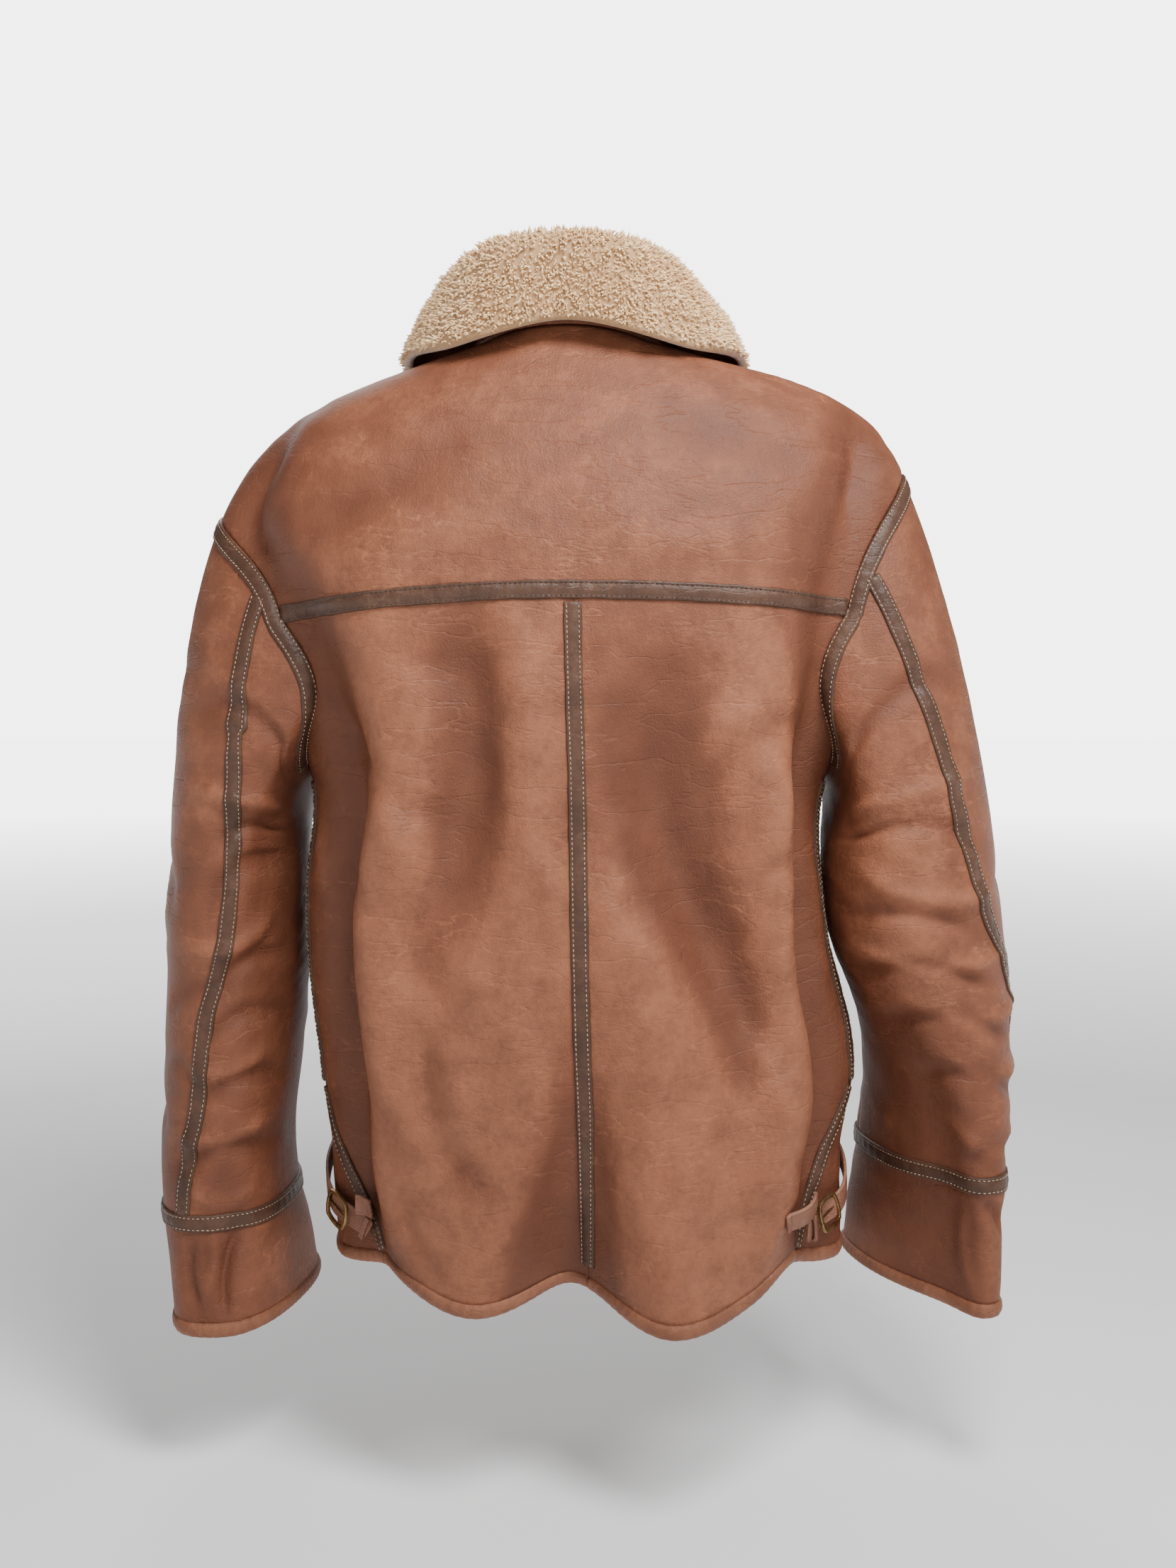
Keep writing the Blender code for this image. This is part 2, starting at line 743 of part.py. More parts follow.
FRONT_TOPS = [133.0, 141.0, 150.0, 159.0, 168.0, 176.0, FRONT_EDGE]
BACK_ROWS = [0.0, 0.05, 0.115, 0.18, 0.255, 0.33, 0.42, 0.51, 0.60, 0.69, 0.78, 0.87, 0.94, 0.988, 1.0]
YOKE_ROWS = [0.0, 0.032, 0.12, 0.24, 0.38, 0.54, 0.70, 0.86, 1.0]
GUSSET_ROW = 5

# Columns of the sleeve's first band that the armhole tape covers, and its drop from the seam
ARMHOLE_TAPE_FIRST = 6
ARMHOLE_TAPE_LAST = 23
ARMHOLE_TAPE_DROP = 0.14

# Rows down a sleeve: the armhole, its tape's edge, the fan to the armpit and the rings below
SLEEVE_FAN = [-1.0, -0.92, -0.80, -0.66, -0.52, -0.38, -0.25, -0.12, 0.0]
SLEEVE_RUNS = SLEEVE_FAN + [0.12, 0.24, 0.36, 0.48, 0.60, 0.70, 0.80, 0.90, 0.978, 1.0]


def side_run():
    """Run of the side seam's top, at the armhole."""
    return float(armhole_point(BACK_TURNS[-1])[1])


GUSSET_RUN = BACK_ROWS[GUSSET_ROW] * side_run() + 0.003


def gusset_share(run):
    """How far the gusset is open at a run: 1 at the hem, 0 at its point."""
    return np.clip((GUSSET_RUN - run) / GUSSET_RUN, 0.0, 1.0)


def side_angle():
    """Body angle of the side seam above the gusset."""
    return float(armhole_point(BACK_TURNS[-1])[0])


def back_angle(mid, top, run, top_run):
    """Body angle of a back column at a run."""
    share = np.clip((run - GUSSET_RUN) / max(top_run - GUSSET_RUN, 0.01), 0.0, 1.0)
    edge = side_angle()
    scaled = mid * edge / BACK_MIDS[-1]
    hem = scaled * GUSSET_BACK / edge
    bow = ARMHOLE_BOW * np.exp(-(((mid - 90.0 + ARMHOLE_HALF) / 6.0) ** 2))
    upper = scaled + (top - scaled) * share - bow * np.sin(math.pi * share)
    return upper + (hem - scaled) * gusset_share(run)


def front_angle(mid, top, run, top_run):
    """Body angle of a front column at a run."""
    share = np.clip((run - GUSSET_RUN) / max(top_run - GUSSET_RUN, 0.01), 0.0, 1.0)
    edge = side_angle()
    hem = FRONT_EDGE - (FRONT_EDGE - mid) * (FRONT_EDGE - GUSSET_FRONT) / (FRONT_EDGE - edge)
    upper = mid + (top - mid) * share
    return upper + (hem - mid) * gusset_share(run)


def grid_of(columns, side):
    """Points and normals of columns of (angle, run)."""
    angles = np.array([[place[0] for place in column] for column in columns]).T
    runs = np.array([[place[1] for place in column] for column in columns]).T
    angles = leaned(angles, runs) * side_sign(side)
    return body_surface(angles, runs), body_normal(angles, runs)


def back_columns():
    """Columns of one back panel."""
    columns = []
    tops = [(angle, ARMHOLE_RUN) for angle in BACK_TOPS]
    for turn in BACK_TURNS:
        angle, run = armhole_point(turn)
        tops.append((float(angle), float(run)))
    for number, (mid, (top, top_run)) in enumerate(zip(BACK_MIDS, tops)):
        column = []
        rows = BACK_ROWS if number < len(BACK_TOPS) else BACK_ROWS[:-2] + [1.0, 1.0]
        for row in rows:
            run = row * top_run
            column.append((float(back_angle(mid, top, run, top_run)), run))
        columns.append(column)
    return columns


def yoke_columns():
    """Columns of one half of the yoke, from its seam or the armhole up to the neckline."""
    starts = [(angle, ARMHOLE_RUN) for angle in BACK_TOPS]
    for turn in YOKE_TURNS:
        angle, run = armhole_point(turn)
        starts.append((float(angle), float(run)))
    last = starts[-1][0]
    columns = []
    for number, (angle, run) in enumerate(starts):
        top = last * number / (len(starts) - 1)
        top = max(top, 2.1) if number > 0 else 0.0
        column = []
        for row in YOKE_ROWS:
            column.append((angle + (top - angle) * row**YOKE_EASE, run + (1.0 - run) * row))
        columns.append(column)
    return columns


def front_columns():
    """Columns of a front panel: below the armhole, above it, and beside the zip."""
    below = []
    edge = side_angle()
    tops = []
    for turn in FRONT_TURNS:
        angle, run = armhole_point(turn)
        tops.append((float(angle), float(run)))
    tops += [(angle, ARMHOLE_RUN) for angle in FRONT_TOPS]
    count = len(tops)
    for number, (top, top_run) in enumerate(tops):
        mid = edge + (FRONT_EDGE - edge) * number / (count - 1)
        if number == 1:
            mid = edge + 1.9
        column = []
        for row in BACK_ROWS[:12] + [1.0]:
            run = row * top_run
            column.append((float(front_angle(mid, top, run, top_run)), run))
        below.append(column)
    above = []
    starts = []
    for turn in FRONT_UPPER_TURNS:
        angle, run = armhole_point(turn)
        starts.append((float(angle), float(run)))
    starts += [(angle, ARMHOLE_RUN) for angle in FRONT_TOPS]
    first = starts[0][0]
    count = len(starts)
    for number, (angle, run) in enumerate(starts):
        top = first + (FRONT_EDGE - first) * number / (count - 1)
        column = []
        for row in YOKE_ROWS:
            column.append((angle + (top - angle) * row**YOKE_EASE, run + (1.0 - run) * row))
        above.append(column)
    return below, above


def gusset_columns():
    """Columns of a gusset, from its back seam to its front seam."""
    top_run = side_run()
    edge = side_angle()
    columns = []
    for share in (0.0, 0.25, 0.5, 0.75, 1.0):
        column = []
        for row in BACK_ROWS[: GUSSET_ROW + 1]:
            run = row * top_run
            back = float(back_angle(BACK_MIDS[-1], edge, run, top_run))
            front = float(front_angle(edge, edge, run, top_run))
            column.append((back + (front - back) * share, run))
        columns.append(column)
    return columns


def roll_rings(points, normals, downs, high, out, thick):
    """Rounded edging below an edge: rings across it at each point."""
    section = [
        (0.000, 0.0004),
        (out, 0.18 * high),
        (out, 0.62 * high),
        (out * 0.2, 0.94 * high),
        (-thick * 0.5, high),
        (-thick * 0.95, 0.75 * high),
        (-thick, 0.30 * high),
        (-thick * 0.9, 0.0004),
    ]
    rings = []
    for point, normal, down in zip(points, normals, downs):
        rings.append([point + normal * a + down * b for a, b in section])
    return rings


def below_edge(points, normals):
    """Direction square to an edge and its normals, downwards."""
    down = unit(np.cross(np.gradient(points, axis=0), normals))
    return down * np.where(down[:, 2:3] > 0.0, -1.0, 1.0)


def trim_path(points, distance):
    """Path with both ends drawn in."""
    points = np.array(points)
    points[0] = points[0] + unit(points[1] - points[0]) * distance
    points[-1] = points[-1] + unit(points[-2] - points[-1]) * distance
    return points


def build_body(maker):
    """Panels, yoke, gussets, hem edging and the tapes on them."""
    back = back_columns()
    yoke = yoke_columns()
    below, above = front_columns()
    gusset = gusset_columns()
    grids = {}
    for side in ("left", "right"):
        sheet = Sheet()
        points, normals = grid_of(back, side)
        grids[side] = (points, normals)
        sheet.add_grid(points, normals)
        maker.wall(f"back_panel_{side}", sheet, WALL)
        sheet = Sheet()
        front_points, front_normals = grid_of(below, side)
        sheet.add_grid(front_points, front_normals)
        upper_points, upper_normals = grid_of(above, side)
        sheet.add_grid(upper_points, upper_normals)
        maker.wall(f"front_panel_{side}", sheet, WALL)
        sheet = Sheet()
        gusset_points, gusset_normals = grid_of(gusset, side)
        sheet.add_grid(gusset_points, gusset_normals)
        maker.wall(f"gusset_{side}", sheet, WALL)
        grids[side + " front"] = (front_points, front_normals)
        grids[side + " gusset"] = (gusset_points, gusset_normals)
        tape_points = np.stack([points[5:13, -1], points[5:13, -2]], axis=1)
        tape_normals = np.stack([normals[5:13, -1], normals[5:13, -2]], axis=1)
        front_tape = front_points[5:12, 1]
        rows = min(len(front_tape), len(tape_points))
        tape_points = np.concatenate([tape_points[:rows, ::-1], front_tape[:rows, None]], axis=1)
        front_tape_normals = front_normals[5:12, 1]
        tape_normals = np.concatenate(
            [tape_normals[:rows, ::-1], front_tape_normals[:rows, None]], axis=1
        )
        maker.tape(f"side_tape_{side}", tape_points, tape_normals)
        edge_points = points[0:5, -2:]
        edge_normals = normals[0:5, -2:]
        maker.tape(f"gusset_tape_{side}", edge_points, edge_normals)
    halves = {side: grid_of(yoke, side) for side in ("left", "right")}
    sheet = Sheet()
    sheet.add_grid(
        np.concatenate([halves["left"][0][:, :0:-1], halves["right"][0]], axis=1),
        np.concatenate([halves["left"][1][:, :0:-1], halves["right"][1]], axis=1),
    )
    maker.wall("back_yoke", sheet, WALL)
    build_yoke_tape(maker, grids, halves)
    build_hem(maker, grids)
    left = grids["left"]
    right = grids["right"]
    points = np.stack([left[0][1:14, 1], left[0][1:14, 0], right[0][1:14, 1]], axis=1)
    normals = np.stack([left[1][1:14, 1], left[1][1:14, 0], right[1][1:14, 1]], axis=1)
    maker.tape("centre_back_tape", points, normals)


def build_hem(maker, grids):
    """Rolled edging under each panel, along one path round the hem."""
    names, counts, paths, path_normals = [], [], [], []
    for side, order in (("left", -1), ("right", 1)):
        pieces = [
            ("back", grids[side]),
            ("gusset", grids[side + " gusset"]),
            ("front", grids[side + " front"]),
        ]
        for name, (points, normals) in pieces[::order]:
            names.append(f"hem_edging_{name}_{side}")
            counts.append(points.shape[1])
            paths.append(points[0, ::order])
            path_normals.append(normals[0, ::order])
    joined = np.concatenate([paths[0]] + [path[1:] for path in paths[1:]])
    joined_normals = np.concatenate([path_normals[0]] + [path[1:] for path in path_normals[1:]])
    downs = below_edge(joined, joined_normals)
    start = 0
    for name, count in zip(names, counts):
        part = slice(start, start + count)
        path = trim_path(joined[part], 0.0003)
        rings = roll_rings(path, joined_normals[part], downs[part], EDGING_HIGH, EDGING_OUT, EDGING_THICK)
        maker.tube(name, rings, "edging")
        start += count - 1


def build_yoke_tape(maker, grids, halves):
    """Tape over the yoke seam, half on the yoke and half on the back panels."""
    count = len(BACK_TOPS)
    rows = []
    for side in ("left", "right"):
        points, normals = grids[side]
        upper, upper_normals = halves[side]
        row_points = np.stack([points[-2, :count], points[-1, :count], upper[1, :count]], axis=1)
        row_normals = np.stack(
            [normals[-2, :count], normals[-1, :count], upper_normals[1, :count]], axis=1
        )
        rows.append((row_points, row_normals))
    points = np.concatenate([rows[0][0][:0:-1], rows[1][0]], axis=0)
    normals = np.concatenate([rows[0][1][:0:-1], rows[1][1]], axis=0)
    maker.tape("yoke_tape", points, normals)


def hole_turns(piece):
    """Turns on the armhole where a sleeve piece has its columns, the same as the body's."""
    top = YOKE_TURNS[1:] + FRONT_UPPER_TURNS[1:] + FRONT_TURNS[-2:4:-1]
    if piece == "top":
        return top
    under = FRONT_TURNS[5:0:-1] + BACK_TURNS[:0:-1] + [360.0, 360.0 + YOKE_TURNS[1]]
    return under


def sleeve_angles(side, runs, piece):
    """Angles round one sleeve piece at each run, with a narrow band beside the taped seam."""
    runs = np.array(runs)
    seam = SLEEVE_SEAMS[side].read("angle", runs)
    step = sleeve_surface(side, seam + 1.0, runs) - sleeve_surface(side, seam - 1.0, runs)
    band = np.minimum(TAPE_HALF / np.maximum(np.linalg.norm(step, axis=-1) / 2.0, 1e-4), 12.0)
    turns = np.array(hole_turns(piece))
    share = np.clip((runs[:, None] + 1.0) / 0.9, 0.0, 1.0)
    even = np.linspace(0.0, 1.0, len(turns))
    first = (turns - turns[0]) / (turns[-1] - turns[0])
    place = first * (1.0 - share) + even * share
    if piece == "top":
        angles = seam[:, None] + (INNER_SEAM - seam[:, None]) * place
        return np.concatenate([angles[:, :1], seam[:, None] + band[:, None], angles[:, 1:]], axis=1)
    angles = INNER_SEAM + (seam[:, None] + 360.0 - INNER_SEAM) * place
    beside = seam[:, None] + 360.0 - band[:, None]
    return np.concatenate([angles[:, :-1], beside, angles[:, -1:]], axis=1)


def armhole_runs(side, angles, runs):
    """Runs shifted near the armhole so that the first band has its tape's width."""
    first = np.full_like(angles, -1.0)
    near = sleeve_surface(side, angles, first + 0.1) - sleeve_surface(side, angles, first)
    slope = np.linalg.norm(near, axis=-1) / 0.1
    band = np.minimum(ARMHOLE_TAPE / np.maximum(slope, 1e-4), 0.34)
    upper = runs + (band - FIRST_BAND) * (runs / (FIRST_BAND - 1.0))
    top = -1.0 + band * (runs + 1.0) / FIRST_BAND
    return np.where(runs <= FIRST_BAND - 1.0, top, np.where(runs < 0.0, upper, runs))


def sleeve_grid(side, piece, runs):
    """Grid of one sleeve piece: points, normals."""
    angles = sleeve_angles(side, runs, piece)
    shifted = armhole_runs(side, angles, np.array(runs)[:, None] + 0.0 * angles)
    points = sleeve_surface(side, angles, shifted)
    normals = sleeve_normal(side, angles, shifted)
    seam, band, following = (0, 1, 2) if piece == "top" else (-1, -2, -3)
    chord = points[0, following] - points[0, seam]
    share = np.linalg.norm(points[0, band] - points[0, seam]) / np.linalg.norm(chord)
    points[0, band] = points[0, seam] + chord * share
    points[0] = points[0] + unit(points[1] - points[0]) * SLEEVE_SHIFT
    return points, normals


def build_sleeve(maker, side):
    """Sleeve pieces, cuff, edging and tapes."""
    runs = SLEEVE_RUNS
    grids = {}
    for piece in ("top", "under"):
        points, normals = sleeve_grid(side, piece, runs)
        grids[piece] = (points, normals)
        sheet = Sheet()
        sheet.add_grid(points, normals)
        maker.wall(f"sleeve_{piece}_{side}", sheet, WALL, skive=0.0022)
    top, top_normals = grids["top"]
    under, under_normals = grids["under"]
    points = np.stack([under[1:18, -2], top[1:18, 0], top[1:18, 1]], axis=1)
    normals = np.stack([under_normals[1:18, -2], top_normals[1:18, 0], top_normals[1:18, 1]], axis=1)
    maker.tape(f"sleeve_tape_{side}", points, normals)
    band = np.concatenate([under, top[:, 1:]], axis=1)[:2, ARMHOLE_TAPE_FIRST:ARMHOLE_TAPE_LAST]
    leans = np.concatenate([under_normals, top_normals[:, 1:]], axis=1)
    leans = leans[:2, ARMHOLE_TAPE_FIRST:ARMHOLE_TAPE_LAST]
    band[0] = band[0] + (band[1] - band[0]) * ARMHOLE_TAPE_DROP
    maker.tape(f"armhole_tape_{side}", band, leans)
    build_cuff(maker, side, grids)


def build_cuff(maker, side, grids):
    """Cuff with its tape and rolled edging."""
    last = float(SLEEVES[side].rows[-1, 0])
    runs = np.array([1.0, 1.022, 1.0 + (last - 1.0) * 0.38, 1.0 + (last - 1.0) * 0.70, last])
    pieces = [sleeve_angles(side, [1.0], piece)[0] for piece in ("top", "under")]
    angles = np.concatenate([pieces[0], pieces[1][1:]])
    angle_grid, run_grid = np.meshgrid(angles, runs)
    points = sleeve_surface(side, angle_grid, run_grid)
    normals = sleeve_normal(side, angle_grid, run_grid)
    points[:, -1] = points[:, 0]
    normals[:, -1] = normals[:, 0]
    sheet = Sheet()
    sheet.add_grid(points, normals)
    maker.wall(f"cuff_{side}", sheet, WALL)
    top, top_normals = grids["top"]
    under, under_normals = grids["under"]
    above = np.concatenate([top[-2], under[-2, 1:]], axis=0)
    above_normals = np.concatenate([top_normals[-2], under_normals[-2, 1:]], axis=0)
    rings = []
    for j in range(len(angles) - 1):
        ring = []
        for lift in (TAPE_LIFT + TAPE_WALL, TAPE_LIFT):
            line = [
                above[j] + above_normals[j] * lift,
                points[0, j] + normals[0, j] * lift,
                points[1, j] + normals[1, j] * lift,
            ]
            ring += line if lift > TAPE_LIFT else line[::-1]
        rings.append(ring)
    maker.loop(f"cuff_tape_{side}", rings, "tape")
    closed = np.concatenate([points[-1, -2:-1], points[-1], points[-1, 1:2]])
    closed_normals = np.concatenate([normals[-1, -2:-1], normals[-1], normals[-1, 1:2]])
    downs = below_edge(closed, closed_normals)[1:-1]
    edge = points[-1, :-1]
    rings = roll_rings(edge, normals[-1, :-1], downs[:-1], EDGING_HIGH, EDGING_OUT, EDGING_THICK)
    maker.loop(f"cuff_edging_{side}", rings, "edging")


def collar_point(angle, share):
    """Middle of the collar's thickness: share 0 at the neckline, 0.5 at the fold, 1 at the edge."""
    base = body_surface(angle, 1.0)
    middle = np.array([BODY.read("x_mid", 1.0), -0.004, 0.0])
    out = base - middle
    out[2] = 0.0
    out = unit(out)
    fold_out = float(COLLAR.read("fold_out", angle))
    fold_up = float(COLLAR.read("fold_up", angle))
    edge_out = float(COLLAR.read("edge_out", angle))
    edge_up = float(COLLAR.read("edge_up", angle))
    profile = Table(
        "share out up",
        [
            (0.00, -0.0045, 0.0007),
            (0.20, -0.0060, 0.45 * fold_up),
            (0.38, fold_out - 0.0100, fold_up - 0.0120),
            (0.50, fold_out, fold_up - 0.0045),
            (0.62, fold_out + 0.0110, fold_up - 0.0130),
            (0.80, 0.45 * fold_out + 0.55 * edge_out + 0.004, 0.50 * fold_up + 0.50 * edge_up),
            (1.00, edge_out, edge_up),
        ],
    )
    return base + out * float(profile.read("out", share)) + np.array(
        [0.0, 0.0, float(profile.read("up", share))]
    )


def build_collar(maker):
    """Wool collar: one thick band that stands, folds and falls."""
    shares = [0.0, 0.14, 0.28, 0.38, 0.44, 0.50, 0.56, 0.62, 0.72, 0.86, 1.0]
    rings = []
    for angle in steps(-175.0, 175.0, 35):
        line = np.array([collar_point(angle, share) for share in shares])
        ahead = np.array([collar_point(angle + 1.0, share) for share in shares])
        along = unit(ahead - line)
        down = unit(np.gradient(line, axis=0))
        outward = unit(np.cross(down, along))
        half = WOOL / 2
        outer = line + outward * half
        inner = line - outward * half
        tip = line[-1] + down[-1] * half * 0.7
        foot = line[0] - down[0] * half * 0.2
        rings.append([foot, *outer, tip, *inner[::-1]])
    maker.tube("collar", rings, "wool")


def surface_frame(angle, run):
    """Point, normal, upward and sideways directions on the body."""
    point = body_surface(angle, run)
    normal = body_normal(angle, run)
    up = unit(body_surface(angle, run + 0.004) - point)
    up = unit(up - normal * np.dot(up, normal))
    return point, normal, up, np.cross(up, normal)


def ribbon_frames(path):
    """Points, ways along, ways across and normals of places (angle, run, lift) on the body."""
    frames = [surface_frame(angle, run) for angle, run, lift in path]
    points = np.array([frame[0] + frame[1] * place[2] for frame, place in zip(frames, path)])
    along = unit(np.gradient(points, axis=0))
    across = unit(np.cross(np.array([frame[1] for frame in frames]), along))
    return points, along, across, np.cross(along, across)


def ribbon_rings(path, width, thick):
    """Rings of a flat band along a path on the body."""
    points, along, across, normals = ribbon_frames(path)
    side_step = across * width / 2
    top = normals * thick
    corners = [points - side_step, points + side_step, points + side_step + top, points - side_step + top]
    return np.stack(corners, axis=1)


def keeper_rings(path, play):
    """Rings of the loop that holds a strap's end, round the middle of its last length."""
    points, along, across, normals = ribbon_frames(path)
    along = unit(points[-1] - points[-2])
    points = points[-2:].mean(axis=0)
    across = unit(across[-2:].mean(axis=0))
    normals = unit(np.cross(along, across))
    half = STRAP_WIDTH / 2 + play
    corners = [(-1, -play), (1, -play), (1, STRAP_THICK + play), (-1, STRAP_THICK + play)]
    rings = []
    for sideways, high in corners:
        inner = points + across * half * sideways + normals * high
        out = across * sideways + normals * (1 if high > 0 else -1)
        outer = inner + out * KEEPER_THICK
        step = along * KEEPER_LONG / 2
        rings.append([inner - step, inner + step, outer + step, outer - step])
    return rings


def build_strap(maker, side):
    """Side strap with its buckle, prong, keeper and back tab."""
    sign = side_sign(side)
    path = [(sign * angle, run, lift) for angle, run, lift in STRAPS[side]]
    maker.tube(f"strap_{side}", ribbon_rings(path, STRAP_WIDTH, STRAP_THICK), "strap")
    path = [(sign * angle, run, lift) for angle, run, lift in TABS[side]]
    maker.tube(f"strap_tab_{side}", ribbon_rings(path, STRAP_WIDTH * 0.9, STRAP_THICK), "strap")
    path = [(sign * angle, run, lift) for angle, run, lift in STRAPS[side]]
    maker.loop(f"strap_keeper_{side}", keeper_rings(path, KEEPER_PLAY[side]), "strap")
    points, along, across, normals = (part[BUCKLE_PLACE] for part in ribbon_frames(path))
    centre = points + normals * (STRAP_THICK + BUCKLE_WIRE + BUCKLE_LIFT[side])
    rings = []
    for turn in steps(0.0, 360.0, 17)[:-1]:
        s, c = round_out(np.array(turn), 4.0)
        out = along * c * BUCKLE_LONG + across * s * BUCKLE_HIGH
        way = unit(along * c * BUCKLE_HIGH + across * s * BUCKLE_LONG)
        side_step = way * BUCKLE_WIRE
        rise = normals * BUCKLE_WIRE
        middle = centre + out
        low = middle - rise
        high = middle + rise
        rings.append([low - side_step, low + side_step, high + side_step, high - side_step])
    maker.loop(f"buckle_{side}", rings, "brass")
    centre = points + normals * (STRAP_THICK + PRONG_HALF + GAP * 1.5)
    start = centre - along * (BUCKLE_LONG - BUCKLE_WIRE - GAP * 2)
    end = centre + along * (BUCKLE_LONG - BUCKLE_WIRE - GAP * 2)
    rings = []
    for share in (0.0, 0.5, 1.0):
        middle = start + (end - start) * share
        half = PRONG_HALF * (1.0 - 0.3 * share)
        corners = ((-1, -1), (1, -1), (1, 1), (-1, 1))
        rings.append([middle + across * half * a + normals * half * b for a, b in corners])
    maker.tube(f"buckle_prong_{side}", rings, "brass")


def build_zip(maker):
    """Centre-front zip: a tape each side, closed by a slider with a pull tab on its pin."""
    runs = np.array(steps(0.004, 0.985, 16))
    for side in ("left", "right"):
        angles = np.array([179.9, 178.62]) * side_sign(side)
        angle_grid, run_grid = np.meshgrid(angles, runs)
        points = body_surface(angle_grid, run_grid)
        normals = body_normal(angle_grid, run_grid)
        sheet = Sheet()
        sheet.add_grid(points, normals)
        maker.wall(f"zip_tape_{side}", sheet, 0.0016, "zip", skive=0.0, base=-0.0015, inset=0.0002)
    point, normal, up, _ = surface_frame(180.0, SLIDER_RUN)
    up = unit(np.array([0.0, up[1], up[2]]))
    normal = np.array([0.0, up[2], -up[1]])
    sideways = np.array([1.0, 0.0, 0.0])
    inner, outer = SLIDER_EAR
    rings = []
    for x, eared in (
        (-SLIDER_HALF, False),
        (-outer - STEP, False),
        (-outer, True),
        (-inner, True),
        (-inner + STEP, False),
        (inner - STEP, False),
        (inner, True),
        (outer, True),
        (outer + STEP, False),
        (SLIDER_HALF, False),
    ):
        ring = []
        for number, (high, out) in enumerate(SLIDER_SECTION):
            raised = EAR_HIGH if eared and number in EAR_POINTS else out
            ring.append(point + sideways * x + up * high + normal * raised)
        rings.append(ring)
    maker.tube("zip_slider", rings, "brass")
    axis = point + normal * PULL_AXIS_OUT
    rings = []
    for high, half, thick in PULL_SECTIONS:
        corners = ((-1, -1), (1, -1), (1, 1), (-1, 1))
        rings.append([up * high + sideways * half * a + normal * thick * b for a, b in corners])
    pull = maker.tube("zip_pull", rings, "brass")
    pull.location = tuple(float(value) for value in axis)


def main():
    """Build every piece."""
    maker = Maker()
    build_body(maker)
    for side in ("left", "right"):
        build_sleeve(maker, side)
        build_strap(maker, side)
    build_collar(maker)
    build_zip(maker)


if __name__ == "__main__":
    main()
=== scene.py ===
"""Looks of the shearling jacket: leather shells with creases, taped seams, stitches and wool.

Metres, +Z up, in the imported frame. The wearer faces +Y, so the camera looks along +Y at the
back of the jacket. The origin is the middle of the base of the neck.
"""

import logging
import math
from dataclasses import dataclass, field
from enum import Enum
from functools import lru_cache
from typing import Callable, Sequence

import bmesh
import bpy
import numpy as np
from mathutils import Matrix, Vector


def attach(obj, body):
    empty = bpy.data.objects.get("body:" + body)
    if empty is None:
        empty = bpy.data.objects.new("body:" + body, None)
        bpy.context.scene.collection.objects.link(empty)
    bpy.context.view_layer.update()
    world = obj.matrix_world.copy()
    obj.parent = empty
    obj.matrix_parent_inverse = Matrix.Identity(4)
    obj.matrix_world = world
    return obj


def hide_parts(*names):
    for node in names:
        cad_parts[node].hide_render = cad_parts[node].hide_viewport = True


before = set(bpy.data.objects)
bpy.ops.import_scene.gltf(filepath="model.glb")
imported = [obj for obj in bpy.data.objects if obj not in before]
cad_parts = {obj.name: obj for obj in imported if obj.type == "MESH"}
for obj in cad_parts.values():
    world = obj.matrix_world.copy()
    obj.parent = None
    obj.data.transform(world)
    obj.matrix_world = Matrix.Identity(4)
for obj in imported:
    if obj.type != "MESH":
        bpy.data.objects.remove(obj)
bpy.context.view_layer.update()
LOG = logging.getLogger("jacket")
Array = np.ndarray

# Walls and trims, in metres
WALL = 0.006
TAPE_LIFT = 0.0007
TAPE_THICK = 0.0012
TAPE_HALF = 0.0066
STITCH_PITCH = 0.0036
STITCH_LONG = 0.0025
STITCH_HALF = 0.00035
STITCH_EDGE = 0.0022

# Roundness of the body, the sleeves and the armholes
BODY_SQUARE = 2.5
SLEEVE_SQUARE = 2.35
ARMHOLE_SQUARE = 2.3

# Armhole, in body angle and run
ARMHOLE_HALF = 37.0
ARMHOLE_RUN = 0.70
ARMHOLE_UP = 0.10
ARMHOLE_DOWN = 0.155
ARMHOLE_LEAN = 3.5
ARMHOLE_LEAN_REACH = 0.13
ARMHOLE_LEAN_WIDTH = 20.0
ARMHOLE_BOW = 4.0
YOKE_EASE = 1.7

# Seams, in body angle and run
GUSSET_BACK = 51.0
GUSSET_FRONT = 104.0
FRONT_EDGE = 178.4
SIDE_EDGE = 72.0


class Table:
    """Rows of numbers under column names, read as smooth curves through the rows."""

    def __init__(self, names: str, rows: Sequence[Sequence[float]]) -> None:
        """Keep the rows and work out the slope of each column.

        Args:
            names: Column names, parted by spaces.
            rows: Rows of numbers, the first column rising.
        """
        self.names = names.split()
        self.rows = np.array(rows, dtype=float)
        self.slopes = np.gradient(self.rows, self.rows[:, 0], axis=0)

    def read(self, name: str, at: Array | float) -> Array:
        """Value of one column.

        Args:
            name: Column to read.
            at: Place in the first column.

        Returns:
            The column's smooth value at each place.
        """
        x = self.rows[:, 0]
        column = self.names.index(name)
        y = self.rows[:, column]
        slope = self.slopes[:, column]
        at = np.clip(at, x[0], x[-1])
        i = np.clip(np.searchsorted(x, at, side="right") - 1, 0, len(x) - 2)
        width = x[i + 1] - x[i]
        t = (at - x[i]) / width
        start = (1 + 2 * t) * (1 - t) ** 2 * y[i]
        end = t * t * (3 - 2 * t) * y[i + 1]
        lean = width * t * (1 - t) * ((1 - t) * slope[i] - t * slope[i + 1])
        return start + end + lean


